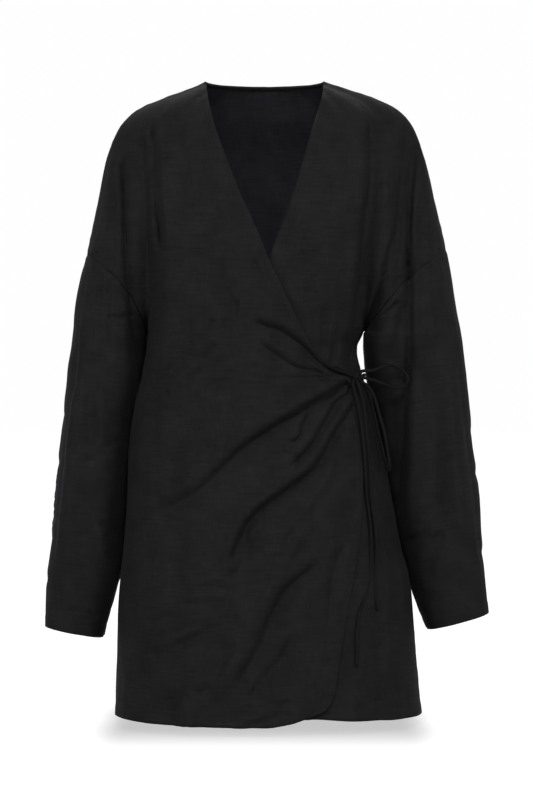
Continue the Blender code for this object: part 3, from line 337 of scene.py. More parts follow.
BACK_FOLDS = fold_table([
    ((4.2, 5.1, 6.6, 7.8, 2.4, 18, 20), -145, 62, -149, 120, -149, 190, -147, 300),
    ((7.7, 7.7, 4.3, 4.8, 0, 25, 25), -156, 72, -157, 160, -155, 250),
    ((4.4, 4.4, 4.8, 7.2, -2.6, 20, 20), -178, 90, -178, 170, -172, 240, -163, 322),
    ((4.2, 5.1, 6.6, 7.8, -2.4, 18, 20), 143, 62, 143, 120, 139, 190, 126, 302),
    ((7.7, 7.7, 4.3, 4.8, 0, 25, 25), 155, 72, 153, 160, 144, 240),
    ((4.4, 4.4, 4.8, 7.8, 2.6, 20, 20), 180, 90, 176, 170, 162, 250, 141, 316),
    ((3.7, 8.8, 8.4, 4.2, 1.9, 8, 45), 121, 391, 96, 400, 66, 414, 30, 438, -4, 466, -26, 492),
    ((3.5, 7.7, 7.2, 4.2, 1.7, 8, 40), 121, 400, 104, 420, 82, 452, 60, 490, 42, 530, 30, 572),
    ((3.3, 5.5, 5.4, 2.9, 0, 8, 30), 120, 396, 98, 414, 70, 440, 46, 472),
    ((3.7, 6.6, 5.4, 2.6, 0, 8, 40), 119, 380, 92, 368, 58, 352, 20, 340, -14, 337),
    ((3.5, 5.5, 4.1, 2.2, 0, 8, 30), 121, 373, 106, 352, 94, 322, 88, 290),
    ((4.4, 5.5, -2.8, -2.3, 0, 14, 30), 110, 404, 76, 434, 44, 474, 20, 516),
    ((4.4, 7.7, 5.4, 3.6, 1.2, 10, 50), 126, 412, 122, 470, 114, 540, 104, 610),
    ((4.4, 6.6, -2.5, -2.3, 0, 14, 30), 118, 440, 104, 500, 92, 560),
    ((9, 13, 3.6, 6.6, 1.7, 60, 70), -58, 225, -62, 350, -74, 500, -92, 660),
    ((8, 11, -2.5, -3.4, 0, 50, 60), -36, 260, -40, 400, -50, 570),
    ((5.5, 7.7, 3.6, 4.3, 1, 30, 40), -78, 330, -92, 420, -104, 520),
    ((9, 13, 3.6, 7.8, 1.4, 60, 1), -14, 500, -26, 660, -38, 850),
    ((8, 12, 4.2, 7.8, 1.4, 60, 1), 62, 560, 80, 700, 90, 850),
    ((10, 14, -3.4, -5.8, 0, 60, 1), 24, 540, 26, 700, 30, 850),
    ((9, 12, -3.4, -5.8, 0, 60, 1), -106, 590, -118, 710, -130, 850),
    ((7.7, 11, 3, 4.8, 1, 50, 1), -146, 610, -158, 850),
    ((7.7, 11, 2.4, 4.1, 0, 50, 1), 132, 640, 148, 850),
    ((10, 12, 2.2, 2.6, 0, 40, 40), 38, 100, 52, 200, 48, 290),
    ((4.4, 4.4, 2.9, 2.4, 0, 12, 16), -10, 372, -30, 392, -42, 420),
    ((4.4, 4.4, 2.4, 2.4, 0, 10, 12), -96, 350, -88, 376, -92, 398),
    ((4.4, 4.4, 2.6, 2.4, 0, 12, 12), -60, 610, -84, 630, -100, 626),
    ((4.4, 5.5, 3.1, 2.6, 0, 14, 16), 20, 640, 4, 668, -16, 690),
    ((5, 6.6, 7.2, 6, 2.4, 25, 40), -216, 350, -209, 450, -206, 570),
    ((7.7, 9.9, -3, -3.4, 0, 40, 50), -238, 400, -242, 540, -250, 680),
    ((4.4, 4.8, 4.3, 3.1, 0, 12, 16), -240, 600, -220, 636, -198, 660),
    ((4.4, 4.4, 3.1, 2.4, 0, 10, 12), -234, 508, -218, 520, -204, 518),
    ((5, 6.6, 7.2, 6, -2.4, 25, 40), 218, 345, 212, 450, 212, 570),
    ((7.7, 9.9, -3, -3.4, 0, 40, 50), 242, 400, 246, 540, 256, 680),
    ((4.4, 4.8, 4.3, 3.1, 0, 12, 16), 248, 590, 226, 628, 202, 642),
    ((4.4, 4.4, 3.1, 2.4, 0, 10, 12), 238, 500, 222, 514, 208, 510),
])
# round a sleeve: x is the distance from its outer line, towards the front where it is positive
ROUND_FOLDS = {
    "right": fold_table([
        ((9, 11, 3, 3.8, 1, 50, 60), 30, 290, 36, 400, 26, 520, 30, 650),
        ((8, 10, 2.8, 3.4, -1, 50, 60), -36, 300, -44, 420, -34, 560, -40, 690),
        ((13, 15, -2.4, -2.8, 0, 60, 60), 4, 320, -4, 470, 6, 620),
        ((6, 6, 1.8, 1.6, 0.4, 16, 22), -38, 402, -16, 414, 8, 440, 26, 452),
        ((5.6, 5.8, 1.4, 1.2, 0, 14, 18), -26, 486, -4, 500, 20, 496),
        ((6, 6, 1.7, 1.7, 0.4, 16, 20), 34, 560, 12, 574, -12, 570, -32, 588),
        ((5.2, 5.4, 1.2, 1, 0, 12, 14), -20, 640, 2, 652, 22, 648),
    ]),
    "left": fold_table([
        ((9, 11, 3, 3.6, -1, 50, 60), 34, 300, 27, 400, 21, 520, 25, 650),
        ((8, 10, 2.6, 3.4, 1, 50, 60), -40, 280, -46, 400, -38, 540, -31, 690),
        ((13, 15, -2.4, -2.6, 0, 60, 60), -2, 330, -8, 460, 2, 600),
        ((6, 6, 1.8, 1.6, 0.4, 16, 20), -34, 430, -10, 444, 12, 468, 30, 478),
        ((5.6, 5.6, 1.4, 1.2, 0, 14, 16), -20, 524, 4, 514, 26, 526),
        ((6, 6, 1.7, 1.5, 0.4, 14, 18), -30, 606, -8, 620, 16, 613, 34, 627),
    ]),
}

# fine: the distance of a panel's rows beside the knot. columns: a share of its width, and how many of its
# columns lie before and after it
Panel = namedtuple("Panel", "facing hem folds fine columns")
TOP = Panel(1, TOP_HEM, TOP_FOLDS, 0.0019, (0.42, 54, 106))
UNDER = Panel(1, UNDER_HEM, UNDER_FOLDS, 0.0024, (0.35, 22, 79))
BACK = Panel(-1, BACK_HEM, [], 0.0032, None)


# ---------------------------------------------------------------- curves
def smooth(keys, values, at):
    """Monotone cubic through (keys, values), read at one key or an array of keys."""
    keys = np.asarray(keys, float)
    values = np.asarray(values, float)
    step = np.diff(keys)
    slope = np.diff(values) / step
    tangent = np.empty_like(values)
    tangent[0] = slope[0]
    tangent[-1] = slope[-1]
    product = slope[:-1] * slope[1:]
    weight_a = 2 * step[1:] + step[:-1]
    weight_b = step[1:] + 2 * step[:-1]
    both = weight_a * slope[1:] + weight_b * slope[:-1]
    bent = product > 0
    tangent[1:-1] = np.where(bent, (weight_a + weight_b) * product / np.where(bent, both, 1), 0)
    cell = np.clip(np.searchsorted(keys, at, side="right") - 1, 0, len(keys) - 2)
    t = np.clip((at - keys[cell]) / step[cell], 0, 1)
    width = step[cell]
    low = values[cell] * (1 + 2 * t) * (1 - t) ** 2 + tangent[cell] * width * t * (1 - t) ** 2
    high = values[cell + 1] * t * t * (3 - 2 * t) - tangent[cell + 1] * width * t * t * (1 - t)
    return low + high


def column(rows, name, at, key="drop"):
    """A table's named column, read at one key or an array of keys."""
    return smooth([getattr(row, key) for row in rows], [getattr(row, name) for row in rows], at)


def ease(t):
    t = np.clip(t, 0, 1)
    return t * t * (3 - 2 * t)


def blend(a, b, share):
    return a * (1 - share) + b * share


def ramp(ends, share):
    return ends[0] + (ends[1] - ends[0]) * share


def unit(vectors):
    return vectors / np.linalg.norm(vectors, axis=-1, keepdims=True)


def lengths(points, axis=0):
    """Distance run along an axis of a line or a grid of points, from 0 at its start."""
    run = np.cumsum(np.linalg.norm(np.diff(points, axis=axis), axis=-1), axis=axis)
    return np.insert(run, 0, 0, axis=axis)


def read_line(line, keys, at):
    """Points of a line, whose own points lie at keys."""
    return np.stack([np.interp(at, keys, line[:, axis]) for axis in range(3)], axis=1)


def smooth_line(route, steps):
    """A Catmull-Rom curve through a route's points."""
    route = np.array(route, float)
    ends = np.concatenate([[2 * route[0] - route[1]], route, [2 * route[-1] - route[-2]]])
    line = []
    for a, b, c, d in zip(ends, ends[1:], ends[2:], ends[3:]):
        for t in np.linspace(0, 1, steps, endpoint=False):
            bend = (c - a) * t + (2 * a - 5 * b + 4 * c - d) * t ** 2 + (3 * b - a - 3 * c + d) * t ** 3
            line.append(b + bend / 2)
    return np.array(line + [route[-1]])


def lattice_noise(u, v, seed):
    """Smooth noise between -1 and 1 with cells of size 1."""
    values = np.random.default_rng(seed).uniform(-1, 1, (LATTICE, LATTICE))
    iu = np.floor(u).astype(int)
    iv = np.floor(v).astype(int)
    fu, fv = (f ** 3 * (f * (f * 6 - 15) + 10) for f in (u - iu, v - iv))
    a, b, c, d = (values[(iu + i) % LATTICE, (iv + j) % LATTICE] for i, j in ((0, 0), (1, 0), (0, 1), (1, 1)))
    return blend(blend(a, b, fu), blend(c, d, fu), fv)


# ---------------------------------------------------------------- the worn form
def lobe(across, low, high, reach, boxy):
    """Depth of a rounded form between two places across. boxy is 2 for an ellipse."""
    place = np.abs((2 * across - low - high) / (high - low))
    return reach * np.maximum(1 - place ** boxy, 0) ** (1 / boxy)


def below(start, drop):
    """0 above a drop and 1 below it, over the run given with it."""
    return ease((drop - start[0]) / start[1])


def arm_depth(side, across, drop, facing):
    outer = column(OUTLINE, side.name, drop)
    merged = column(ARMS, "merged", drop)
    inner = blend(column(ARMS, side.name, drop), -outer, merged)
    front, rear = (blend(column(ARMS, name, drop), column(DEPTHS, name, drop), merged)
                   for name in ("front", "back"))
    boxy = ramp(ARM_BOXY, below(side.squared, drop) * (facing > 0))
    return lobe(across, inner, outer, np.where(facing > 0, front, rear), boxy)


def body_depth(side, across, drop, facing):
    half = np.minimum(column(TORSO, side.name, drop), column(OUTLINE, side.name, drop))
    reach = np.where(facing > 0, column(DEPTHS, "front", drop), column(DEPTHS, "back", drop))
    boxy = column(DEPTHS, "boxy", drop) + side.fuller * below(FULLER_FROM, drop) * (facing > 0)
    chest = lobe(across, -half, half, reach, boxy)
    arm = np.where(drop < UNDERARM_DROP, arm_depth(side, across, drop, facing), 0)
    deeper = np.maximum(chest, arm)
    fillet = np.minimum(column(ARMS, "fillet", drop), deeper) + 1e-9
    overlap = np.maximum(fillet - np.abs(chest - arm), 0)
    return deeper + overlap ** 2 / (4 * fillet) * (drop < UNDERARM_DROP)


def fall(distance, reach, power):
    return np.exp(-(distance / reach) ** power)


def fold_profile(fold, share, depth, low):
    """How far a fold sinks the cloth, at a share of its width from its course. low is its low side."""
    if fold.step:
        # a lap: the cloth drops steeply from a ridge and comes up slowly on the other side
        wave = depth * np.where(low, fall(share, *LAP_LOW), fall(share, *LAP_HIGH))
        return wave - abs(fold.step) * ~low * fall(share - LAP_RIDGE[0], LAP_RIDGE[1], 2)
    return depth * (fall(share, *TROUGH) - FOLD_SHOULDER * fall(share - TROUGH_RIDGE[0], TROUGH_RIDGE[1], 2))


def fold_depth(folds, x, drop):
    """How far the folds of a table sink the cloth at places seen from the front."""
    x = x * 1000
    drop = drop * 1000
    total = np.zeros(np.broadcast(x, drop).shape)
    for fold in folds:
        route = smooth_line(fold.route, ROUTE_STEPS)
        reach = FOLD_REACH * max(fold.width)
        near = (x > route[:, 0].min() - reach) & (x < route[:, 0].max() + reach)
        near &= (drop > route[:, 1].min() - reach) & (drop < route[:, 1].max() + reach)
        if not near.any():
            continue
        px = x[near]
        pd = drop[near]
        passed = lengths(route)
        best = np.full(px.shape, 9e9)
        place = np.zeros(px.shape)
        sided = np.zeros(px.shape)
        for start, end, before in zip(route, route[1:], passed):
            run = end - start
            size = np.hypot(*run)
            rx = px - start[0]
            rd = pd - start[1]
            t = np.clip((rx * run[0] + rd * run[1]) / size ** 2, 0, 1)
            away = np.hypot(rx - t * run[0], rd - t * run[1])
            closer = away < best
            best = np.where(closer, away, best)
            place = np.where(closer, before + t * size, place)
            sided = np.where(closer, (run[0] * rd - run[1] * rx) / size, sided)
        along = place / passed[-1]
        ends = ease(place / fold.fade[0]) * ease((passed[-1] - place) / fold.fade[1])
        total[near] += ends * fold_profile(fold, best / ramp(fold.width, along), ramp(fold.depth, along),
                                           sided * fold.step > 0)
    return total / 1000


def folded(depth, x, drop, facing, own_folds=()):
    """A form's depth with the arms' and the panel's own folds in front, and the back's behind."""
    front = fold_depth(ARM_FOLDS + list(own_folds), x, drop) if np.any(facing > 0) else 0
    rear = fold_depth(BACK_FOLDS, x, drop) if np.any(facing < 0) else 0
    return depth - np.where(facing > 0, front, rear) * ease(depth / FOLD_RIM)


# ---------------------------------------------------------------- the panels' rows
def shoulder_drop(side, share):
    drops = np.linspace(0, 1, ROW_STEPS) ** SHOULDER_CROWD * side.top_drop
    run = lengths(np.stack([drops, column(OUTLINE, side.name, drops)], axis=1))
    return float(np.interp(share * run[-1], run, drops))


def armhole_place(side, angle, gap_side):
    """Distance from the middle plane and drop of the armhole seam, for one angle or an array."""
    angle = np.asarray(angle, float)
    top = np.array([float(column(OUTLINE, side.name, side.top_drop)), side.top_drop])
    under = np.array([float(column(TORSO, side.name, UNDERARM_DROP)), UNDERARM_DROP])
    half = (top - under) / 2
    inward = np.array([half[1], -half[0]]) / np.hypot(*half)
    gap = (SEAM_GAP + (CROTCH_GAP - SEAM_GAP) * ease((1 - np.cos(angle)) / 2) ** 2) / 2
    if gap_side > 0:
        gap = gap * ease(np.abs(angle) / GAP_OPENS)
    shift = side.bow * np.sin(angle) ** 2 + gap_side * gap
    middle = (top + under) / 2
    return middle + half * np.cos(angle)[..., None] + inward * shift[..., None]


def side_edge(side, station, gap_side=1):
    """A panel's side edge, or with gap_side 0 the seam line itself. Stations run from 0 at the neck
    point over 1 at the armhole's top and 2 at its foot to 3 at the hem."""
    if station <= 1:
        drop = shoulder_drop(side, station)
        return float(column(OUTLINE, side.name, drop)), drop
    if station < 2:
        ahead = (station - 1) ** ARMHOLE_CROWD
        behind = (2 - station) ** ARMHOLE_CROWD
        return tuple(armhole_place(side, ahead / (ahead + behind) * math.pi, gap_side))
    drop = UNDERARM_DROP + (station - 2) * (HEM_DROP - UNDERARM_DROP)
    crotch = gap_side * CROTCH_GAP / 2 * (1 - float(ease((station - 2) / CROTCH_FADE)))
    return float(column(TORSO, side.name, drop)) - crotch, drop


def middle_drop(side, station):
    if station <= 1:
        return side_edge(side, station)[1] + (TOP_DROP - side.top_drop) * station
    if station <= 2:
        return TOP_DROP + (UNDERARM_DROP - TOP_DROP) * (station - 1)
    return side_edge(side, station)[1]


def stations(fine):
    """Rows of a panel, fine metres apart beside the knot."""
    rows = [i / SHOULDER_ROWS for i in range(SHOULDER_ROWS)]
    rows += [1 + i / ARMHOLE_ROWS for i in range(ARMHOLE_ROWS)]
    drops = []
    for start, end, step in ((UNDERARM_DROP, NEAR_KNOT[0], ROW_STEP), (*NEAR_KNOT, fine),
                             (NEAR_KNOT[1], HEM_DROP, ROW_STEP)):
        drops += list(np.linspace(start, end, round((end - start) / step), endpoint=False))
    drops.append(HEM_DROP)
    return np.array(rows + [2 + (drop - UNDERARM_DROP) / (HEM_DROP - UNDERARM_DROP) for drop in drops])


def dense_half(side, panel, rows):
    """Rows of one side with many points, from the side edge to the middle, and lengths along them."""
    edges = np.array([side_edge(side, row) for row in rows])
    middle = np.array([middle_drop(side, row) for row in rows])[:, None]
    width = edges[:, :1]
    drop = edges[:, 1:]
    across = width * np.cos(np.linspace(0, math.pi / 2, ROW_STEPS))
    drops = middle + (drop - middle) * ease((across / width - LEVEL) / (1 - LEVEL))
    hem_line = column(panel.hem, "drop", side.sign * across, "across")
    to_hem = UNDERARM_DROP + (hem_line - UNDERARM_DROP) * (rows[:, None] - 2)
    drops = np.where(rows[:, None] > 2, to_hem, drops)
    lower = rows[:, None] >= 2
    seam = np.array([side_edge(side, row, 0) for row in rows])
    beside = ease((across / width - SEAM_BLEND) / (1 - SEAM_BLEND))
    form = across + (np.where(lower, column(TORSO, side.name, drops), seam[:, :1]) - width) * beside
    form_drop = drops + np.where(lower, 0, seam[:, 1:] - drop) * beside
    facing = np.float64(panel.facing)
    depth = body_depth(side, form, form_drop, facing)
    depth = folded(depth, side.sign * across, drops, facing, panel.folds) + SEAM_GAP / 2
    points = np.stack([side.sign * across, -panel.facing * depth, -drops], axis=2)
    return points, lengths(points, 1)


class Body:
    """Dense rows of a panel's form from the right side edge to the left one. Places along a row are
    given as tau, from -1 at the right edge over 0 in the middle to 1 at the left one."""

    def __init__(self, panel):
        self.rows = stations(panel.fine)
        right, right_length = dense_half(RIGHT, panel, self.rows)
        left, left_length = dense_half(LEFT, panel, self.rows)
        right_tau = right_length / right_length[:, -1:] - 1
        left_tau = 1 - left_length / left_length[:, -1:]
        self.points = np.concatenate([right, left[:, -2::-1]], axis=1)
        self.tau = np.concatenate([right_tau, left_tau[:, -2::-1]], axis=1)

    def edge(self, edge_table):
        """tau at which each row crosses a free edge, as a column."""
        ahead = self.points[:, :, 0] - column(edge_table, "across", -self.points[:, :, 2])
        found = []
        for beyond, tau in zip(ahead, self.tau):
            i = int(np.argmax(beyond >= 0)) if (beyond >= 0).any() else len(tau) - 1
            if i == 0:
                found.append(tau[0])
                continue
            a, b = beyond[i - 1], beyond[i]
            share = a / (a - b) if a != b else 1
            found.append(tau[i - 1] + min(max(share, 0), 1) * (tau[i] - tau[i - 1]))
        return np.array(found)[:, None]

    def at(self, taus):
        """Points at a grid of taus, one row of them for each row of the body."""
        return np.array([read_line(*row) for row in zip(self.points, self.tau, taus)])


# ---------------------------------------------------------------- cloth
def outward(points, closed=False):
    """Unit normals of a grid of points."""
    down = np.gradient(points, axis=0)
    if closed:
        wrapped = np.concatenate([points[:, -1:], points, points[:, :1]], axis=1)
        over = np.gradient(wrapped, axis=1)[:, 1:-1]
    else:
        over = np.gradient(points, axis=1)
    normal = np.cross(down, over)
    # rows that nearly touch at a corner borrow the direction of the rows beside them
    wide = np.concatenate([normal[:1], normal[:1], normal, normal[-1:], normal[-1:]])
    normal = wide[:-4] + 2 * wide[1:-3] + 3 * wide[2:-2] + 2 * wide[3:-1] + wide[4:]
    return normal / np.maximum(np.linalg.norm(normal, axis=2, keepdims=True), 1e-12)


def crumple(points, normal, keep, seed, upright=1.0):
    """Shallow uneven waves in the cloth, where keep is 1."""
    x = points[:, :, 0]
    drop = -points[:, :, 2]
    bent = x * BENT_ACROSS + np.arctan2(points[:, :, 1], x + 0.0) * BODY_RADIUS
    stray = bent + WARP_WAVE.height * lattice_noise(bent / WARP_WAVE.across, drop / WARP_WAVE.down, seed)
    wide = lattice_noise(stray / WIDE_WAVE.across, drop / (WIDE_WAVE.down * upright) + 5, seed + 1)
    middle = lattice_noise(stray / MIDDLE_WAVE.across + MIDDLE_SLANT * drop / MIDDLE_WAVE.across,
                           drop / (MIDDLE_WAVE.down * upright), seed + 2)
    small = lattice_noise(stray / SMALL_WAVE.across, drop / SMALL_WAVE.down, seed + 3)
    patch = lattice_noise(bent / CALM_PATCH.across, drop / CALM_PATCH.down, seed + 4)
    where = 1 - CALM_PATCH.height + CALM_PATCH.height * patch
    height = WIDE_WAVE.height * wide + MIDDLE_WAVE.height * middle * where + SMALL_WAVE.height * small * where
    return points + normal * (height * keep)[:, :, None]


def seam_distance(points, seam):
    """Distance of each point from a seam's polyline, and the place along it that is nearest."""
    run = lengths(seam)
    even = np.arange(0, run[-1], SEAM_STEP)
    seam = read_line(seam, run, even)
    best = np.full(points.shape[:2], 9.0)
    place = np.zeros(points.shape[:2])
    near = max(PUCKER_REACH, SEAM_REACH) * 1.5    # points farther off are left out
    inside = ((points > seam.min(axis=0) - near) & (points < seam.max(axis=0) + near)).all(axis=2)
    chosen = points[inside]
    numbers = np.nonzero(inside.ravel())[0]
    for start in range(0, len(chosen), POINT_BLOCK):
        block = chosen[start:start + POINT_BLOCK]
        away = np.linalg.norm(block[:, None] - seam[None], axis=2)
        nearest = away.argmin(axis=1)
        rows = numbers[start:start + POINT_BLOCK]
        best.ravel()[rows] = away[np.arange(len(block)), nearest]
        place.ravel()[rows] = even[nearest]
    return best, place


def side_seam(points, edge):
    """Distances from a panel's side edge, the places along it, and how far along it its armhole starts."""
    seam = points[:, edge]
    return (*seam_distance(points, seam), float(lengths(seam[:SHOULDER_ROWS + 1])[-1]))


def seam_relief(distance, along, seed, corner=None):
    """How far the cloth beside a seam sinks, with its puckers. They fade at a corner of the seam."""
    groove = -SEAM_GROOVE * (1 - ease(distance / SEAM_REACH))
    ripple = lattice_noise(along / PUCKER_CELLS[0], distance / PUCKER_CELLS[1], seed)
    ripple = ripple * (1 - ease(distance / PUCKER_REACH))
    if corner is not None:
        ripple = ripple * ease((np.abs(along - corner) - SEAM_REACH) / PUCKER_REACH)
    return groove + PUCKER * ripple * ease(distance / PUCKER_CLEAR)


def crumpled_panel(points, seams, seeds, calm):
    """A panel with its crumples, calmer at the neck, and its grooved and puckered side seams."""
    normal = outward(points)
    down = lengths(points)
    nearest = np.minimum.reduce([distance for distance, _, _ in seams])
    keep = ease(nearest / SEAM_CALM) * (calm + (1 - calm) * ease(down / NECK_CALM))
    points = crumple(points, normal, keep, seeds[0])
    for (distance, place, corner), seed in zip(seams, seeds[1:]):
        relief = seam_relief(distance, place, seed, corner) * ease(down / SEAM_FADE)
        points = points + normal * relief[:, :, None]
    return points, down


def turned_band(distance, width):
    """1 within a turned edge's width of the edge and 0 beyond it."""
    return np.clip((width - distance) / TURN_BLEND, 0, 1)


def allowance(edge, beside, normal, weight=1.0, deeper=1.0):
    """Lines of the seam allowance that lies under the next panel, the outermost first."""
    out = unit(edge - beside)
    return [edge + (out * reach - normal * sunk * deeper) * weight for reach, sunk in ALLOWANCE]


def cloth_uv(points, name):
    """Places on the cloth in metres: across from the middle of the body, and up."""
    x, y, z = points[:, :, 0], points[:, :, 1], points[:, :, 2]
    turned_away = np.maximum(column(DEPTHS, name, np.maximum(-z, 0)) - np.abs(y), 0)
    return np.stack([x + np.sign(x) * 0.5 * turned_away, z], axis=2)


# ---------------------------------------------------------------- objects
def add_object(name, data):
    obj = bpy.data.objects.new(name, data)
    bpy.context.scene.collection.objects.link(obj)
    return obj


def dress_piece(name, coords, faces, uv, material, node_name):
    """A smooth mesh on the one body, with a place on the cloth for each point, in place of a CAD node."""
    mesh = bpy.data.meshes.new(name)
    mesh.from_pydata(coords, [], faces)
    layer = mesh.uv_layers.new(name="cloth_metres")
    index = np.empty(len(mesh.loops), int)
    mesh.loops.foreach_get("vertex_index", index)
    layer.data.foreach_set("uv", np.array(uv)[index].ravel())
    mesh.shade_smooth()
    mesh.materials.append(material)
    piece = add_object(name, mesh)
    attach(piece, "root")
    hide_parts(node_name)
    return piece


def shell(name, points, uv, turned, material, node_name, closed=False, fan=False):
    """A cloth shell through a grid of points, whose first row is one point in a fan. turned is 1 where
    its edge is turned under."""
    rows, columns = points.shape[:2]
    number = np.arange(rows * columns)
    kept = np.delete(number, np.s_[1:columns]) if fan else number
    number = number.reshape(rows, columns)
    if fan:
        number = number[1:] - columns + 1
    after = np.roll(number, -1, axis=1) if closed else number[:, 1:]
    first = number if closed else number[:, :-1]
    faces = np.stack([first[:-1], first[1:], after[1:], after[:-1]], axis=2).reshape(-1, 4).tolist()
    if fan:
        faces += [[0, int(a), int(b)] for a, b in zip(number[0], number[0][1:])]
    piece = dress_piece(name, points.reshape(-1, 3)[kept].tolist(), faces, uv.reshape(-1, 2)[kept], material,
                        node_name)
    group = piece.vertex_groups.new(name="turned")
    weights = np.round(turned.ravel()[kept], 1)
    for value in np.unique(weights):
        if value > 0:
            group.add(np.nonzero(weights == value)[0].tolist(), float(value), "REPLACE")
    wall = piece.modifiers.new("Wall", "SOLIDIFY")
    wall.thickness = HEM_WALL
    wall.offset = 0
    wall.vertex_group = "turned"
    wall.thickness_vertex_group = WALL / HEM_WALL
    return piece


# ---------------------------------------------------------------- materials
def fill(tree, target, inputs):
    """Gives a node's sockets, by name or number, their values or links from other nodes' outputs."""
    for socket, value in inputs.items():
        if isinstance(value, bpy.types.NodeSocket):
            tree.links.new(value, target.inputs[socket])
        else:
            target.inputs[socket].default_value = value


def node(tree, kind, inputs, **settings):
    made = tree.nodes.new("ShaderNode" + kind)
    for name, value in settings.items():
        setattr(made, name, value)
    fill(tree, made, inputs)
    return made


def map_range(tree, value, source, target, **settings):
    return node(tree, "MapRange", {"Value": value, "From Min": source[0], "From Max": source[1],
                                   "To Min": target[0], "To Max": target[1]}, **settings).outputs[0]


def new_material(name, inputs):
    material = bpy.data.materials.new(name)
    material.use_nodes = True
    shader = material.node_tree.nodes["Principled BSDF"]
    fill(material.node_tree, shader, inputs)
    return material, material.node_tree, shader


def cloth_material(name, shade=1.0, blue=1.07):
    """Near-black matt cloth: a plain weave with uneven slubbed weft threads and a faint sheen."""
    material, tree, shader = new_material(name, {
        "Metallic": 0, "Specular IOR Level": 0.06, "Sheen Weight": 0.012, "Sheen Roughness": 0.45,
        "Sheen Tint": (0.80, 0.82, 0.88, 1)})
    place = node(tree, "UVMap", {}, uv_map="cloth_metres").outputs[0]

    def noise(cells_across, cells_up, detail, roughness=0.55):
        stretched = node(tree, "Mapping", {"Vector": place, "Scale": (cells_across, cells_up, 1)})
        return node(tree, "TexNoise", {"Vector": stretched.outputs[0], "Scale": 1.0, "Detail": detail,
                                       "Roughness": roughness}).outputs["Fac"]

    def wave(direction, scale, distortion):
        return node(tree, "TexWave", {"Vector": place, "Scale": scale, "Distortion": distortion, "Detail": 2},
                    wave_type="BANDS", bands_direction=direction).outputs["Fac"]

    def math_node(operation, *values):
        return node(tree, "Math", dict(enumerate(values)), operation=operation).outputs[0]

    slub = noise(28, 520, 3)
    warp = noise(900, 60, 2)
    clouds = map_range(tree, noise(22, 16, 7, 0.74), (0.32, 0.68), (0.72, 1.27))
    weave = math_node("MULTIPLY", wave("Y", 310, 1.2), wave("X", 360, 0.8))
    threads = math_node("MULTIPLY_ADD", slub, 0.62, math_node("MULTIPLY", warp, 0.38))
    shades = node(tree, "ValToRGB", {0: threads})
    # shade scales the cloth's colour: above 1 it paints light on, below 1 it paints shade on
    for stop, position, grey in zip(shades.color_ramp.elements, (0.34, 0.66), (0.0040, 0.0072)):
        stop.position = position
        stop.color = (grey * shade, grey * shade, grey * shade * blue, 1)
    clouded = node(tree, "VectorMath", {0: shades.outputs[0], "Scale": clouds}, operation="SCALE")
    height = math_node("MULTIPLY_ADD", weave, 0.35, threads)
    bump = node(tree, "Bump", {"Strength": 0.55, "Distance": 0.00045, "Height": height})
    fill(tree, shader, {"Base Color": clouded.outputs[0], "Normal": bump.outputs[0],
                        "Roughness": map_range(tree, threads, (0.3, 0.7), (0.80, 0.66))})
    return material


# ---------------------------------------------------------------- camera
SENSOR = 36
CAMERA_DISTANCE = 3.0
PICTURE_HEIGHT = 1.051   # what the picture's height spans at the middle plane
camera_data = bpy.data.cameras.new("camera")
camera_data.sensor_fit = "VERTICAL"
camera_data.sensor_height = SENSOR
camera_data.lens = SENSOR * CAMERA_DISTANCE / PICTURE_HEIGHT
camera_data.clip_start = 0.05
camera_data.clip_end = 30
camera = add_object("camera", camera_data)
camera.location = (0.002, -CAMERA_DISTANCE, -0.418)
camera.rotation_euler = (math.pi / 2, 0, 0)
bpy.context.scene.camera = camera

# ---------------------------------------------------------------- ties
TIE_SIDES = 14
TIE_STEP = 0.0022
TIE_FLAT = 0.86          # height of a tie as a share of its width
TIE_UNEVEN = (0.05, 0.013)   # how much its width varies, and over what length
SEAM_DENT = 0.93         # how far its seam dents its outline
TIE_TIP = 0.25           # least size of a ring at a rounded end
KNOT_PLACE = np.array([0.1170, -0.0708, -0.3880])
KNOT_RADII = np.array([0.0070, 0.0062, 0.0067])
KNOT_INSIDE = 0.0026     # how far a tie reaches into the knot
KNOT_STEP = 0.0012
KNOT_FLAT = 0.84
WRAP_POINTS = 24
WRAP_SWAY = 0.0005
KNOT_WRAPS = table("shift tilt up out", (-0.0019, 0.30, 0.0041, 0.0036), (0.0019, 0.18, 0.0043, 0.0036))
KNOT_STRAND = [(-0.0062, 0.0002, 0.0022), (-0.0042, -0.0026, 0.0024), (-0.0008, -0.0047, 0.0010),
               (0.0028, -0.0040, -0.0016), (0.0056, -0.0012, -0.0034)]
KNOT_CORE = [(-0.0052, 0, 0.0016), (0, 0, 0), (0.0052, 0, -0.0016)]
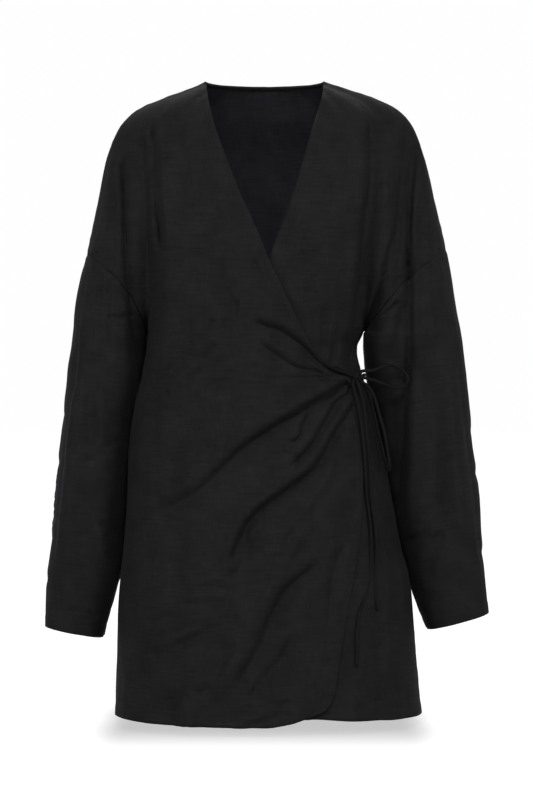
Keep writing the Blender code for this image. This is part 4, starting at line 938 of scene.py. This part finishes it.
# the ties' routes, which are those of their CAD solids. None stands for the knot
TIES = table(
    "name far_end lay twist seed route",
    ("tie_lead_front", "object", "loose", 20, 31, [
        (0.0755, -0.0949, -0.3707), (0.0845, -0.0908, -0.3762), (0.0925, -0.0858, -0.3798),
        (0.1010, -0.0795, -0.3825), (0.1062, -0.0750, -0.3843), None]),
    ("tie_lead_side", "object", "loose", 15, 32, [
        (0.1304, -0.0007, -0.3852), (0.1303, -0.0180, -0.3850), (0.1285, -0.0340, -0.3852),
        (0.1272, -0.0500, -0.3858), (0.1255, -0.0605, -0.3866), None]),
    ("tie_loop_short", "object", "loose", 18, 33, [
        None, (0.1238, -0.0756, -0.3812), (0.1290, -0.0765, -0.3805), (0.1360, -0.0750, -0.3805),
        (0.1455, -0.0705, -0.3775), (0.1584, -0.0640, -0.3735), (0.1700, -0.0585, -0.3755),
        (0.1800, -0.0545, -0.3820), (0.1848, -0.0541, -0.3915), (0.1790, -0.0530, -0.4000),
        (0.1674, -0.0560, -0.4024), (0.1558, -0.0620, -0.3985), (0.1416, -0.0690, -0.3935),
        (0.1320, -0.0745, -0.3905), (0.1264, -0.0756, -0.3893), None]),
    ("tie_loop_long", "object", "hanging", 14, 34, [
        None, (0.1246, -0.0719, -0.3956), (0.1300, -0.0715, -0.3985), (0.1355, -0.0695, -0.4050),
        (0.1410, -0.0675, -0.4160), (0.1470, -0.0655, -0.4372), (0.1535, -0.0645, -0.4591),
        (0.1574, -0.0640, -0.4811), (0.1600, -0.0635, -0.4975), (0.1607, -0.0605, -0.5065),
        (0.1595, -0.0550, -0.5097), (0.1580, -0.0490, -0.5065), (0.1562, -0.0463, -0.4985),
        (0.1530, -0.0455, -0.4870), (0.1495, -0.0455, -0.4720), (0.1450, -0.0465, -0.4520),
        (0.1400, -0.0495, -0.4320), (0.1345, -0.0540, -0.4130), (0.1285, -0.0605, -0.3995),
        (0.1238, -0.0650, -0.3938), None]),
    ("tie_tail_short", "bare", "hanging", 12, 35, [
        None, (0.1191, -0.0759, -0.3968), (0.1225, -0.0757, -0.4080), (0.1265, -0.0757, -0.4243),
        (0.1298, -0.0760, -0.4564), (0.1327, -0.0765, -0.4884), (0.1345, -0.0772, -0.5202),
        (0.1362, -0.0782, -0.5494), (0.1400, -0.0795, -0.5736), (0.1424, -0.0822, -0.6029),
        (0.1412, -0.0879, -0.6293), (0.1400, -0.0936, -0.6531), (0.1411, -0.0954, -0.6721),
        (0.1437, -0.0954, -0.6861)]),
    ("tie_tail_long", "bare", "hanging", 11, 36, [
        None, (0.1126, -0.0735, -0.3968), (0.1145, -0.0755, -0.4070), (0.1190, -0.0762, -0.4243),
        (0.1243, -0.0770, -0.4563), (0.1273, -0.0792, -0.4882), (0.1290, -0.0798, -0.5175),
        (0.1301, -0.0812, -0.5416), (0.1332, -0.0830, -0.5657), (0.1352, -0.0848, -0.5925),
        (0.1350, -0.0899, -0.6191), (0.1325, -0.0964, -0.6440), (0.1267, -0.1028, -0.6686),
        (0.1200, -0.1086, -0.6870), (0.1167, -0.1127, -0.7106), (0.1160, -0.1153, -0.7331),
        (0.1159, -0.1174, -0.7544)]),
)


def knot_exit(toward):
    """Where a tie leaves the knot towards a point, from a little inside it."""
    direction = unit(np.array(toward) - KNOT_PLACE)
    surface = KNOT_RADII ** 2 * direction / np.linalg.norm(KNOT_RADII * direction)
    start = KNOT_PLACE + surface
    return [start - direction * KNOT_INSIDE, start + direction * TIE_WIDTH / 2], start


def even_line(points, step):
    line = smooth_line(points, 10)
    run = lengths(line)
    return read_line(line, run, np.linspace(0, run[-1], max(3, round(run[-1] / step) + 1)))


def tube(line, radius, flat, twist, seed, round_ends=(False, False)):
    """Rings of a slightly flattened, slowly turning tube along a line, and places on its cloth."""
    tangent = unit(np.gradient(line, axis=0))
    run = lengths(line)
    across = unit(np.cross(tangent[0], (0.2, 1.0, 0.3)))
    coords = []
    uvs = []
    for point, ahead, passed in zip(line, tangent, run):
        across = unit(across - ahead * np.dot(across, ahead))
        other = np.cross(ahead, across)
        uneven = float(lattice_noise(np.array(passed / TIE_UNEVEN[1]), np.array(0.5), seed))
        size = radius * (1 + TIE_UNEVEN[0] * uneven)
        for rounded, reach in zip(round_ends, (passed, run[-1] - passed)):
            if rounded and reach < radius:
                size *= max(TIE_TIP, math.sqrt(max(0.0, 1 - (1 - reach / radius) ** 2)))
        turn = twist * passed
        for k in range(TIE_SIDES):
            angle = 2 * math.pi * k / TIE_SIDES
            a = math.cos(angle) * size * (1 if k else SEAM_DENT)
            b = math.sin(angle) * size * flat
            ca, sa = math.cos(turn), math.sin(turn)
            coords.append(tuple(point + across * (a * ca - b * sa) + other * (a * sa + b * ca)))
            uvs.append((passed, 2 * math.pi * radius * k / TIE_SIDES))
    return coords, uvs


def tube_piece(name, tubes, node_name):
    """One mesh of one or more tubes, closed at both ends."""
    coords = []
    uvs = []
    faces = []
    for tube_coords, tube_uvs in tubes:
        start = len(coords)
        coords += tube_coords
        uvs += tube_uvs
        rings = np.arange(start, len(coords)).reshape(-1, TIE_SIDES)
        after = np.roll(rings, -1, axis=1)
        faces += np.stack([rings[:-1], after[:-1], after[1:], rings[1:]], axis=2).reshape(-1, 4).tolist()
        faces += [rings[0, ::-1].tolist(), rings[-1].tolist()]
    return dress_piece(name, coords, faces, uvs, tie_cloth, node_name)


def add_tie(tie):
    points = [p for p in tie.route if p is not None]
    exit_point = points[0]
    last = points[-1]
    if tie.route[0] is None:
        ends, exit_point = knot_exit(points[0])
        points = ends + points
    if tie.route[-1] is None:
        points = points + knot_exit(last)[0][::-1]
    line = even_line(points, TIE_STEP)
    rings = tube(line, TIE_WIDTH / 2, TIE_FLAT, tie.twist, tie.seed, (False, tie.far_end == "bare"))
    piece = tube_piece(tie.name + "_cord", [rings], tie.name)


def add_knot():
    """The bow's knot: two turns round its middle and a strand that crosses them."""
    tubes = []
    for wrap in KNOT_WRAPS:
        angle = 2 * math.pi * np.arange(WRAP_POINTS + 1) / WRAP_POINTS
        x = wrap.shift + WRAP_SWAY * np.sin(2 * angle)
        z = np.sin(angle) * wrap.up
        ca, sa = math.cos(wrap.tilt), math.sin(wrap.tilt)
        ring = KNOT_PLACE + np.stack([x * ca - z * sa, np.cos(angle) * wrap.out, x * sa + z * ca], axis=1)
        tubes.append(tube(ring, TIE_WIDTH / 2, KNOT_FLAT, 0, 41))
    for route, size, flat, twist, seed in ((KNOT_STRAND, 0.92, KNOT_FLAT, 60, 42),
                                           (KNOT_CORE, 1.25, 1.0, 0, 43)):
        line = even_line([KNOT_PLACE + np.array(p) for p in route], KNOT_STEP)
        tubes.append(tube(line, TIE_WIDTH / 2 * size, flat, twist, seed, (True, True)))
    tube_piece("tie_knot_wraps", tubes, "tie_knot")


# painted shade: the ties get a darker copy of the dress's cloth, so they catch no more light than the cloth
# round them
tie_cloth = cloth_material("tie_cloth", shade=0.68)
for tie in TIES:
    add_tie(tie)
add_knot()


# ---------------------------------------------------------------- panels
# the cut of what shows of each sheet, and its flat area
Cut = namedtuple("Cut", "flat area")


def panel_piece(node_name, points, uv, turned, material, closed=False, fan=False, extra=()):
    piece = shell(node_name + "_cloth", points, uv, turned, material, node_name, closed, fan)
    return piece


def front_piece(node_name, points, seam, seeds, free_edge):
    """A front panel, with its hem and its free edge turned. free_edge is its first or last column."""
    over = lengths(points, 1)
    points, down = crumpled_panel(points, [seam], seeds, calm=0.35)
    turned = np.maximum(turned_band(down[-1:] - down, HEM_TURN),
                        turned_band(np.abs(over - over[:, free_edge][:, None]), EDGE_TURN))
    panel_piece(node_name, points, cloth_uv(points, "front"), turned, front_cloth, fan=True)


def front_columns(panel):
    share, before, after = panel.columns
    return np.concatenate([np.linspace(0, share, before, endpoint=False), np.linspace(share, 1, after)])


def right_front():
    body = Body(TOP)
    points = body.at(-1 + (body.edge(TOP_EDGE) + 1) * front_columns(TOP))
    front_piece("right_front", points, side_seam(points, 0), (11, 61), -1)


def left_front():
    body = Body(UNDER)
    start = body.edge(UNDER_EDGE)
    points = body.at(start + (1 - start) * front_columns(UNDER))
    seam = side_seam(points, -1)
    across, drops = points[:, :, 0], -points[:, :, 2]
    covered = column(TOP_EDGE, "across", drops) - across
    folds = fold_depth(TOP_FOLDS, across, drops) * ease(1 + covered / DEEP_RAMP)
    sink = UNDERLAP * ease(1 + covered / UNDERLAP_RAMP)
    sink = sink + np.maximum(UNDERLAP_DEEP * ease(covered / DEEP_RAMP), folds)
    points = points - outward(points) * (sink * ease(seam[0] / SIDE_RAMP))[:, :, None]
    front_piece("left_front", points, seam, (12, 62), 0)


def neck_binding(body):
    """The narrow strip inside the back neck."""
    tau = np.clip(np.linspace(1, -1, BACK_COLUMNS + 1), -BINDING_END, BINDING_END)
    edge, fourth = (read_line(body.points[row], body.tau[row], tau) for row in (0, 3))
    direction = unit(fourth - edge)
    share = np.linspace(0, 1, 5)
    grid = np.array([edge + direction * BINDING_WIDTH * k for k in share])
    bulge = BINDING_BULGE * np.sin(math.pi * share)[:, None, None]
    grid = grid - outward(grid) * (HEM_WALL / 2 + BINDING_CLEAR + BINDING_WALL / 2 + bulge)
    binding = shell("back_neck_binding_strip", grid, cloth_uv(grid, "back"), np.zeros(grid.shape[:2]),
                    front_cloth, "back_neck_binding")
    binding.modifiers["Wall"].thickness = BINDING_WALL
    binding.modifiers["Wall"].vertex_group = ""
    return binding


def back():
    body = Body(BACK)
    points = body.at(np.tile(np.linspace(1, -1, BACK_COLUMNS + 1), (len(body.rows), 1)))
    points, down = crumpled_panel(points, [side_seam(points, end) for end in (0, -1)], (13, 63, 64), calm=0.2)
    turned = np.maximum(turned_band(down[-1:] - down, HEM_TURN), turned_band(down, NECK_TURN))
    # beside the armholes lies the sleeves' own allowance
    weight = np.where((body.rows >= 1) & (body.rows < THIN_UNTIL), THIN_ALLOWANCE, 1.0)[:, None]
    normal = outward(points)
    first = allowance(points[:, 0], points[:, 1], normal[:, 0], weight)
    last = allowance(points[:, -1], points[:, -2], normal[:, -1], weight)
    points = np.concatenate([np.stack(first, axis=1), points, np.stack(last[::-1], axis=1)], axis=1)
    turned = np.pad(turned, ((0, 0), (len(ALLOWANCE), len(ALLOWANCE))))
    panel = panel_piece("back", points, cloth_uv(points, "back"), turned, back_cloth,
                        extra=[neck_binding(body)])
    # the inner faces take a lighter, bluer copy of the cloth: painted light inside the back
    panel.data.materials.append(painted_lit_reverse_cloth)
    panel.modifiers["Wall"].material_offset = 1


def sleeve_form(side, angles):
    """Rings of a sleeve from its armhole to its cuff, at angles round it from its outer line."""
    along = np.linspace(0, 1, SLEEVE_ROWS + 1)
    out_drop, inn_drop = (column(RINGS, side.name + end, along, "along") for end in ("_out", "_inn"))
    out = np.stack([column(OUTLINE, side.name, out_drop), out_drop], axis=1)
    inn = np.stack([column(ARMS, side.name, inn_drop), inn_drop], axis=1)
    run = out - inn
    inward = unit(np.stack([run[:, 1], -run[:, 0]], axis=1))
    bow = side.bow * (1 - ease(along / BOW_FADE))
    place = ((out + inn) / 2)[:, None] + (run / 2)[:, None] * np.cos(angles)[None, :, None]
    place = place + inward[:, None] * (bow[:, None] * np.sin(angles) ** 2)[:, :, None]
    place[0] = armhole_place(side, angles, -1)
    across, drop = place[:, :, 0], place[:, :, 1]
    facing = np.where(np.sin(angles) >= 0, 1.0, -1.0)[None, :] * np.ones_like(across)
    depth = arm_depth(side, across, drop, facing)
    seam = armhole_place(side, angles, 0)
    depth[0] = body_depth(side, seam[:, 0], seam[:, 1], facing[0])
    depth = folded(depth, side.sign * across, drop, facing)
    inside = (out[:, :1] - across) / (out[:, :1] - inn[:, :1])
    flat = below(side.flat, drop) * (facing > 0)
    shift = column(ARMS, "turned", drop) * blend(ease(inside), inside ** 4, flat)
    return np.stack([side.sign * across, shift - facing * depth, -drop], axis=2), drop


def sleeve(side, seed):
    angles = np.linspace(0, 2 * math.pi, RING_POINTS, endpoint=False)
    if side is LEFT:
        angles = -angles
    points, drop = sleeve_form(side, angles)
    normal = outward(points, closed=True)
    down = lengths(points)
    round_it = np.angle(np.exp(1j * angles)) * SLEEVE_RADIUS + 0 * down
    from_seam = np.abs(np.angle(np.exp(1j * (angles - math.pi)))) * SLEEVE_RADIUS + 0 * down
    folds = fold_depth(ROUND_FOLDS[side.name], round_it, drop) * ease(down / NECK_CALM)
    points = points - normal * folds[:, :, None]
    keep = ease(down / SEAM_CALM) * (SLEEVE_CALM + (1 - SLEEVE_CALM) * ease(from_seam / SEAM_CALM))
    points = crumple(points, normal, keep, seed, upright=0.8)
    armhole = seam_relief(down, from_seam, seed + 50)
    under = seam_relief(from_seam, down, seed + 51) * ease(down / SEAM_FADE)
    points = points + normal * (armhole + under)[:, :, None]
    turned = np.pad(turned_band(down[-1:] - down, HEM_TURN), ((len(ALLOWANCE), 0), (0, 0)))
    added = allowance(points[0], points[4], outward(points, closed=True)[0], deeper=ROW_SINK)
    points = np.concatenate([added, points])
    round_ring = lengths(np.concatenate([points, points[:, :1]], axis=1), 1)[:, :-1]
    axis = unit(points[-1].mean(axis=0) - points[0].mean(axis=0))
    panel_piece(side.name + "_sleeve", points, np.stack([round_ring, -(points @ axis)], axis=2), turned,
                sleeve_cloth, closed=True)


# painted light: a lighter, bluer copy of the cloth for the back's inner side, standing in for the light that
# reaches inside it
painted_lit_reverse_cloth = cloth_material("painted_lit_reverse_cloth", shade=1.88, blue=1.22)
front_cloth = cloth_material("front_cloth")
back_cloth = cloth_material("back_cloth")
# painted light: the sleeves get a slightly lighter copy of the cloth, standing in for light on the sleeves
# that the body shades
sleeve_cloth = cloth_material("sleeve_cloth", shade=1.08)
right_front()
left_front()
back()
sleeve(RIGHT, 14)
sleeve(LEFT, 15)

# ---------------------------------------------------------------- floor and light
FLOOR_HEIGHT = -0.841
FLOOR_REACH = 40.0
# painted shadow: the floor's colour and glow are darkened round the hem to give it a soft shadow
SHADOW_CORE = (0.175, 0.05, 0)     # half sizes of the darkest part of the soft shadow round the hem
SHADOW_FADE = (16, 4.3, 0)         # how fast it fades outside that, per metre
SHADOW_SHADE = 0.55
WHITE = (1, 1, 1, 1)
LAMPS = table(
    "name place target size power",
    ("key", (0.0, -2.6, 1.8), (0, 0, -0.35), (1.5, 0.9), 68),
    ("softbox_front", (0.0, -3.5, -0.3), (0, 0, -0.5), (2.6, 1.6), 46),
    ("softbox_right", (-2.4, -1.9, -0.1), (0, 0, -0.45), (0.8, 1.6), 34),
    ("softbox_left", (2.4, -1.9, -0.1), (0, 0, -0.45), (0.8, 1.6), 34),
    ("hair", (0.0, 1.5, 1.9), (0, 0, -0.1), (1.6, 0.8), 30),
)

floor_mesh = bpy.data.meshes.new("floor")
floor_mesh.from_pydata([(FLOOR_REACH * x, FLOOR_REACH * y, FLOOR_HEIGHT)
                        for x, y in ((-1, -1), (1, -1), (1, 1), (-1, 1))], [], [(0, 1, 2, 3)])
floor = add_object("floor", floor_mesh)
floor_material, tree, shader = new_material("floor", {
    "Roughness": 0.95, "Specular IOR Level": 0.0, "Emission Color": WHITE})
reach = node(tree, "TexCoord", {}).outputs["Object"]
for operation, amount in (("ABSOLUTE", {}), ("SUBTRACT", {1: SHADOW_CORE}), ("MAXIMUM", {1: (0, 0, 0)}),
                          ("MULTIPLY", {1: SHADOW_FADE}), ("LENGTH", {})):
    step = node(tree, "VectorMath", {0: reach, **amount}, operation=operation)
    reach = step.outputs["Value"] if operation == "LENGTH" else step.outputs[0]
# the painted shadow darkens both the floor's glow and its colour
for socket, full in (("Emission Strength", 1.0), ("Base Color", 0.12)):
    shadow = map_range(tree, reach, (0, 1), (full * SHADOW_SHADE, full), interpolation_type="SMOOTHSTEP")
    fill(tree, shader, {socket: shadow})
floor_mesh.materials.append(floor_material)
floor.visible_diffuse = False     # the floor is white to the camera alone, so it does not light the hem
floor.visible_glossy = False

# the studio is white to the camera, and lights the cloth softly from all round
world = bpy.data.worlds.new("studio")
world.use_nodes = True
tree = world.node_tree
seen = tree.nodes["Background"]
fill(tree, seen, {"Color": WHITE, "Strength": 0.992})
soft_fill = node(tree, "Background", {"Color": (0.97, 0.98, 1, 1), "Strength": 0.54})
is_seen = node(tree, "LightPath", {}).outputs["Is Camera Ray"]
chooser = node(tree, "MixShader", {0: is_seen, 1: soft_fill.outputs[0], 2: seen.outputs[0]})
fill(tree, tree.nodes["World Output"], {"Surface": chooser.outputs[0]})
bpy.context.scene.world = world

for lamp in LAMPS:
    light = bpy.data.lights.new(lamp.name, "AREA")
    light.shape = "RECTANGLE"
    light.size, light.size_y = lamp.size
    light.energy = lamp.power
    obj = add_object(lamp.name, light)
    obj.location = lamp.place
    x, y, z = np.array(lamp.target) - np.array(lamp.place)
    obj.rotation_euler = (math.atan2(math.hypot(x, y), -z), 0, math.atan2(-x, y))

bpy.context.scene.view_settings.view_transform = "Standard"
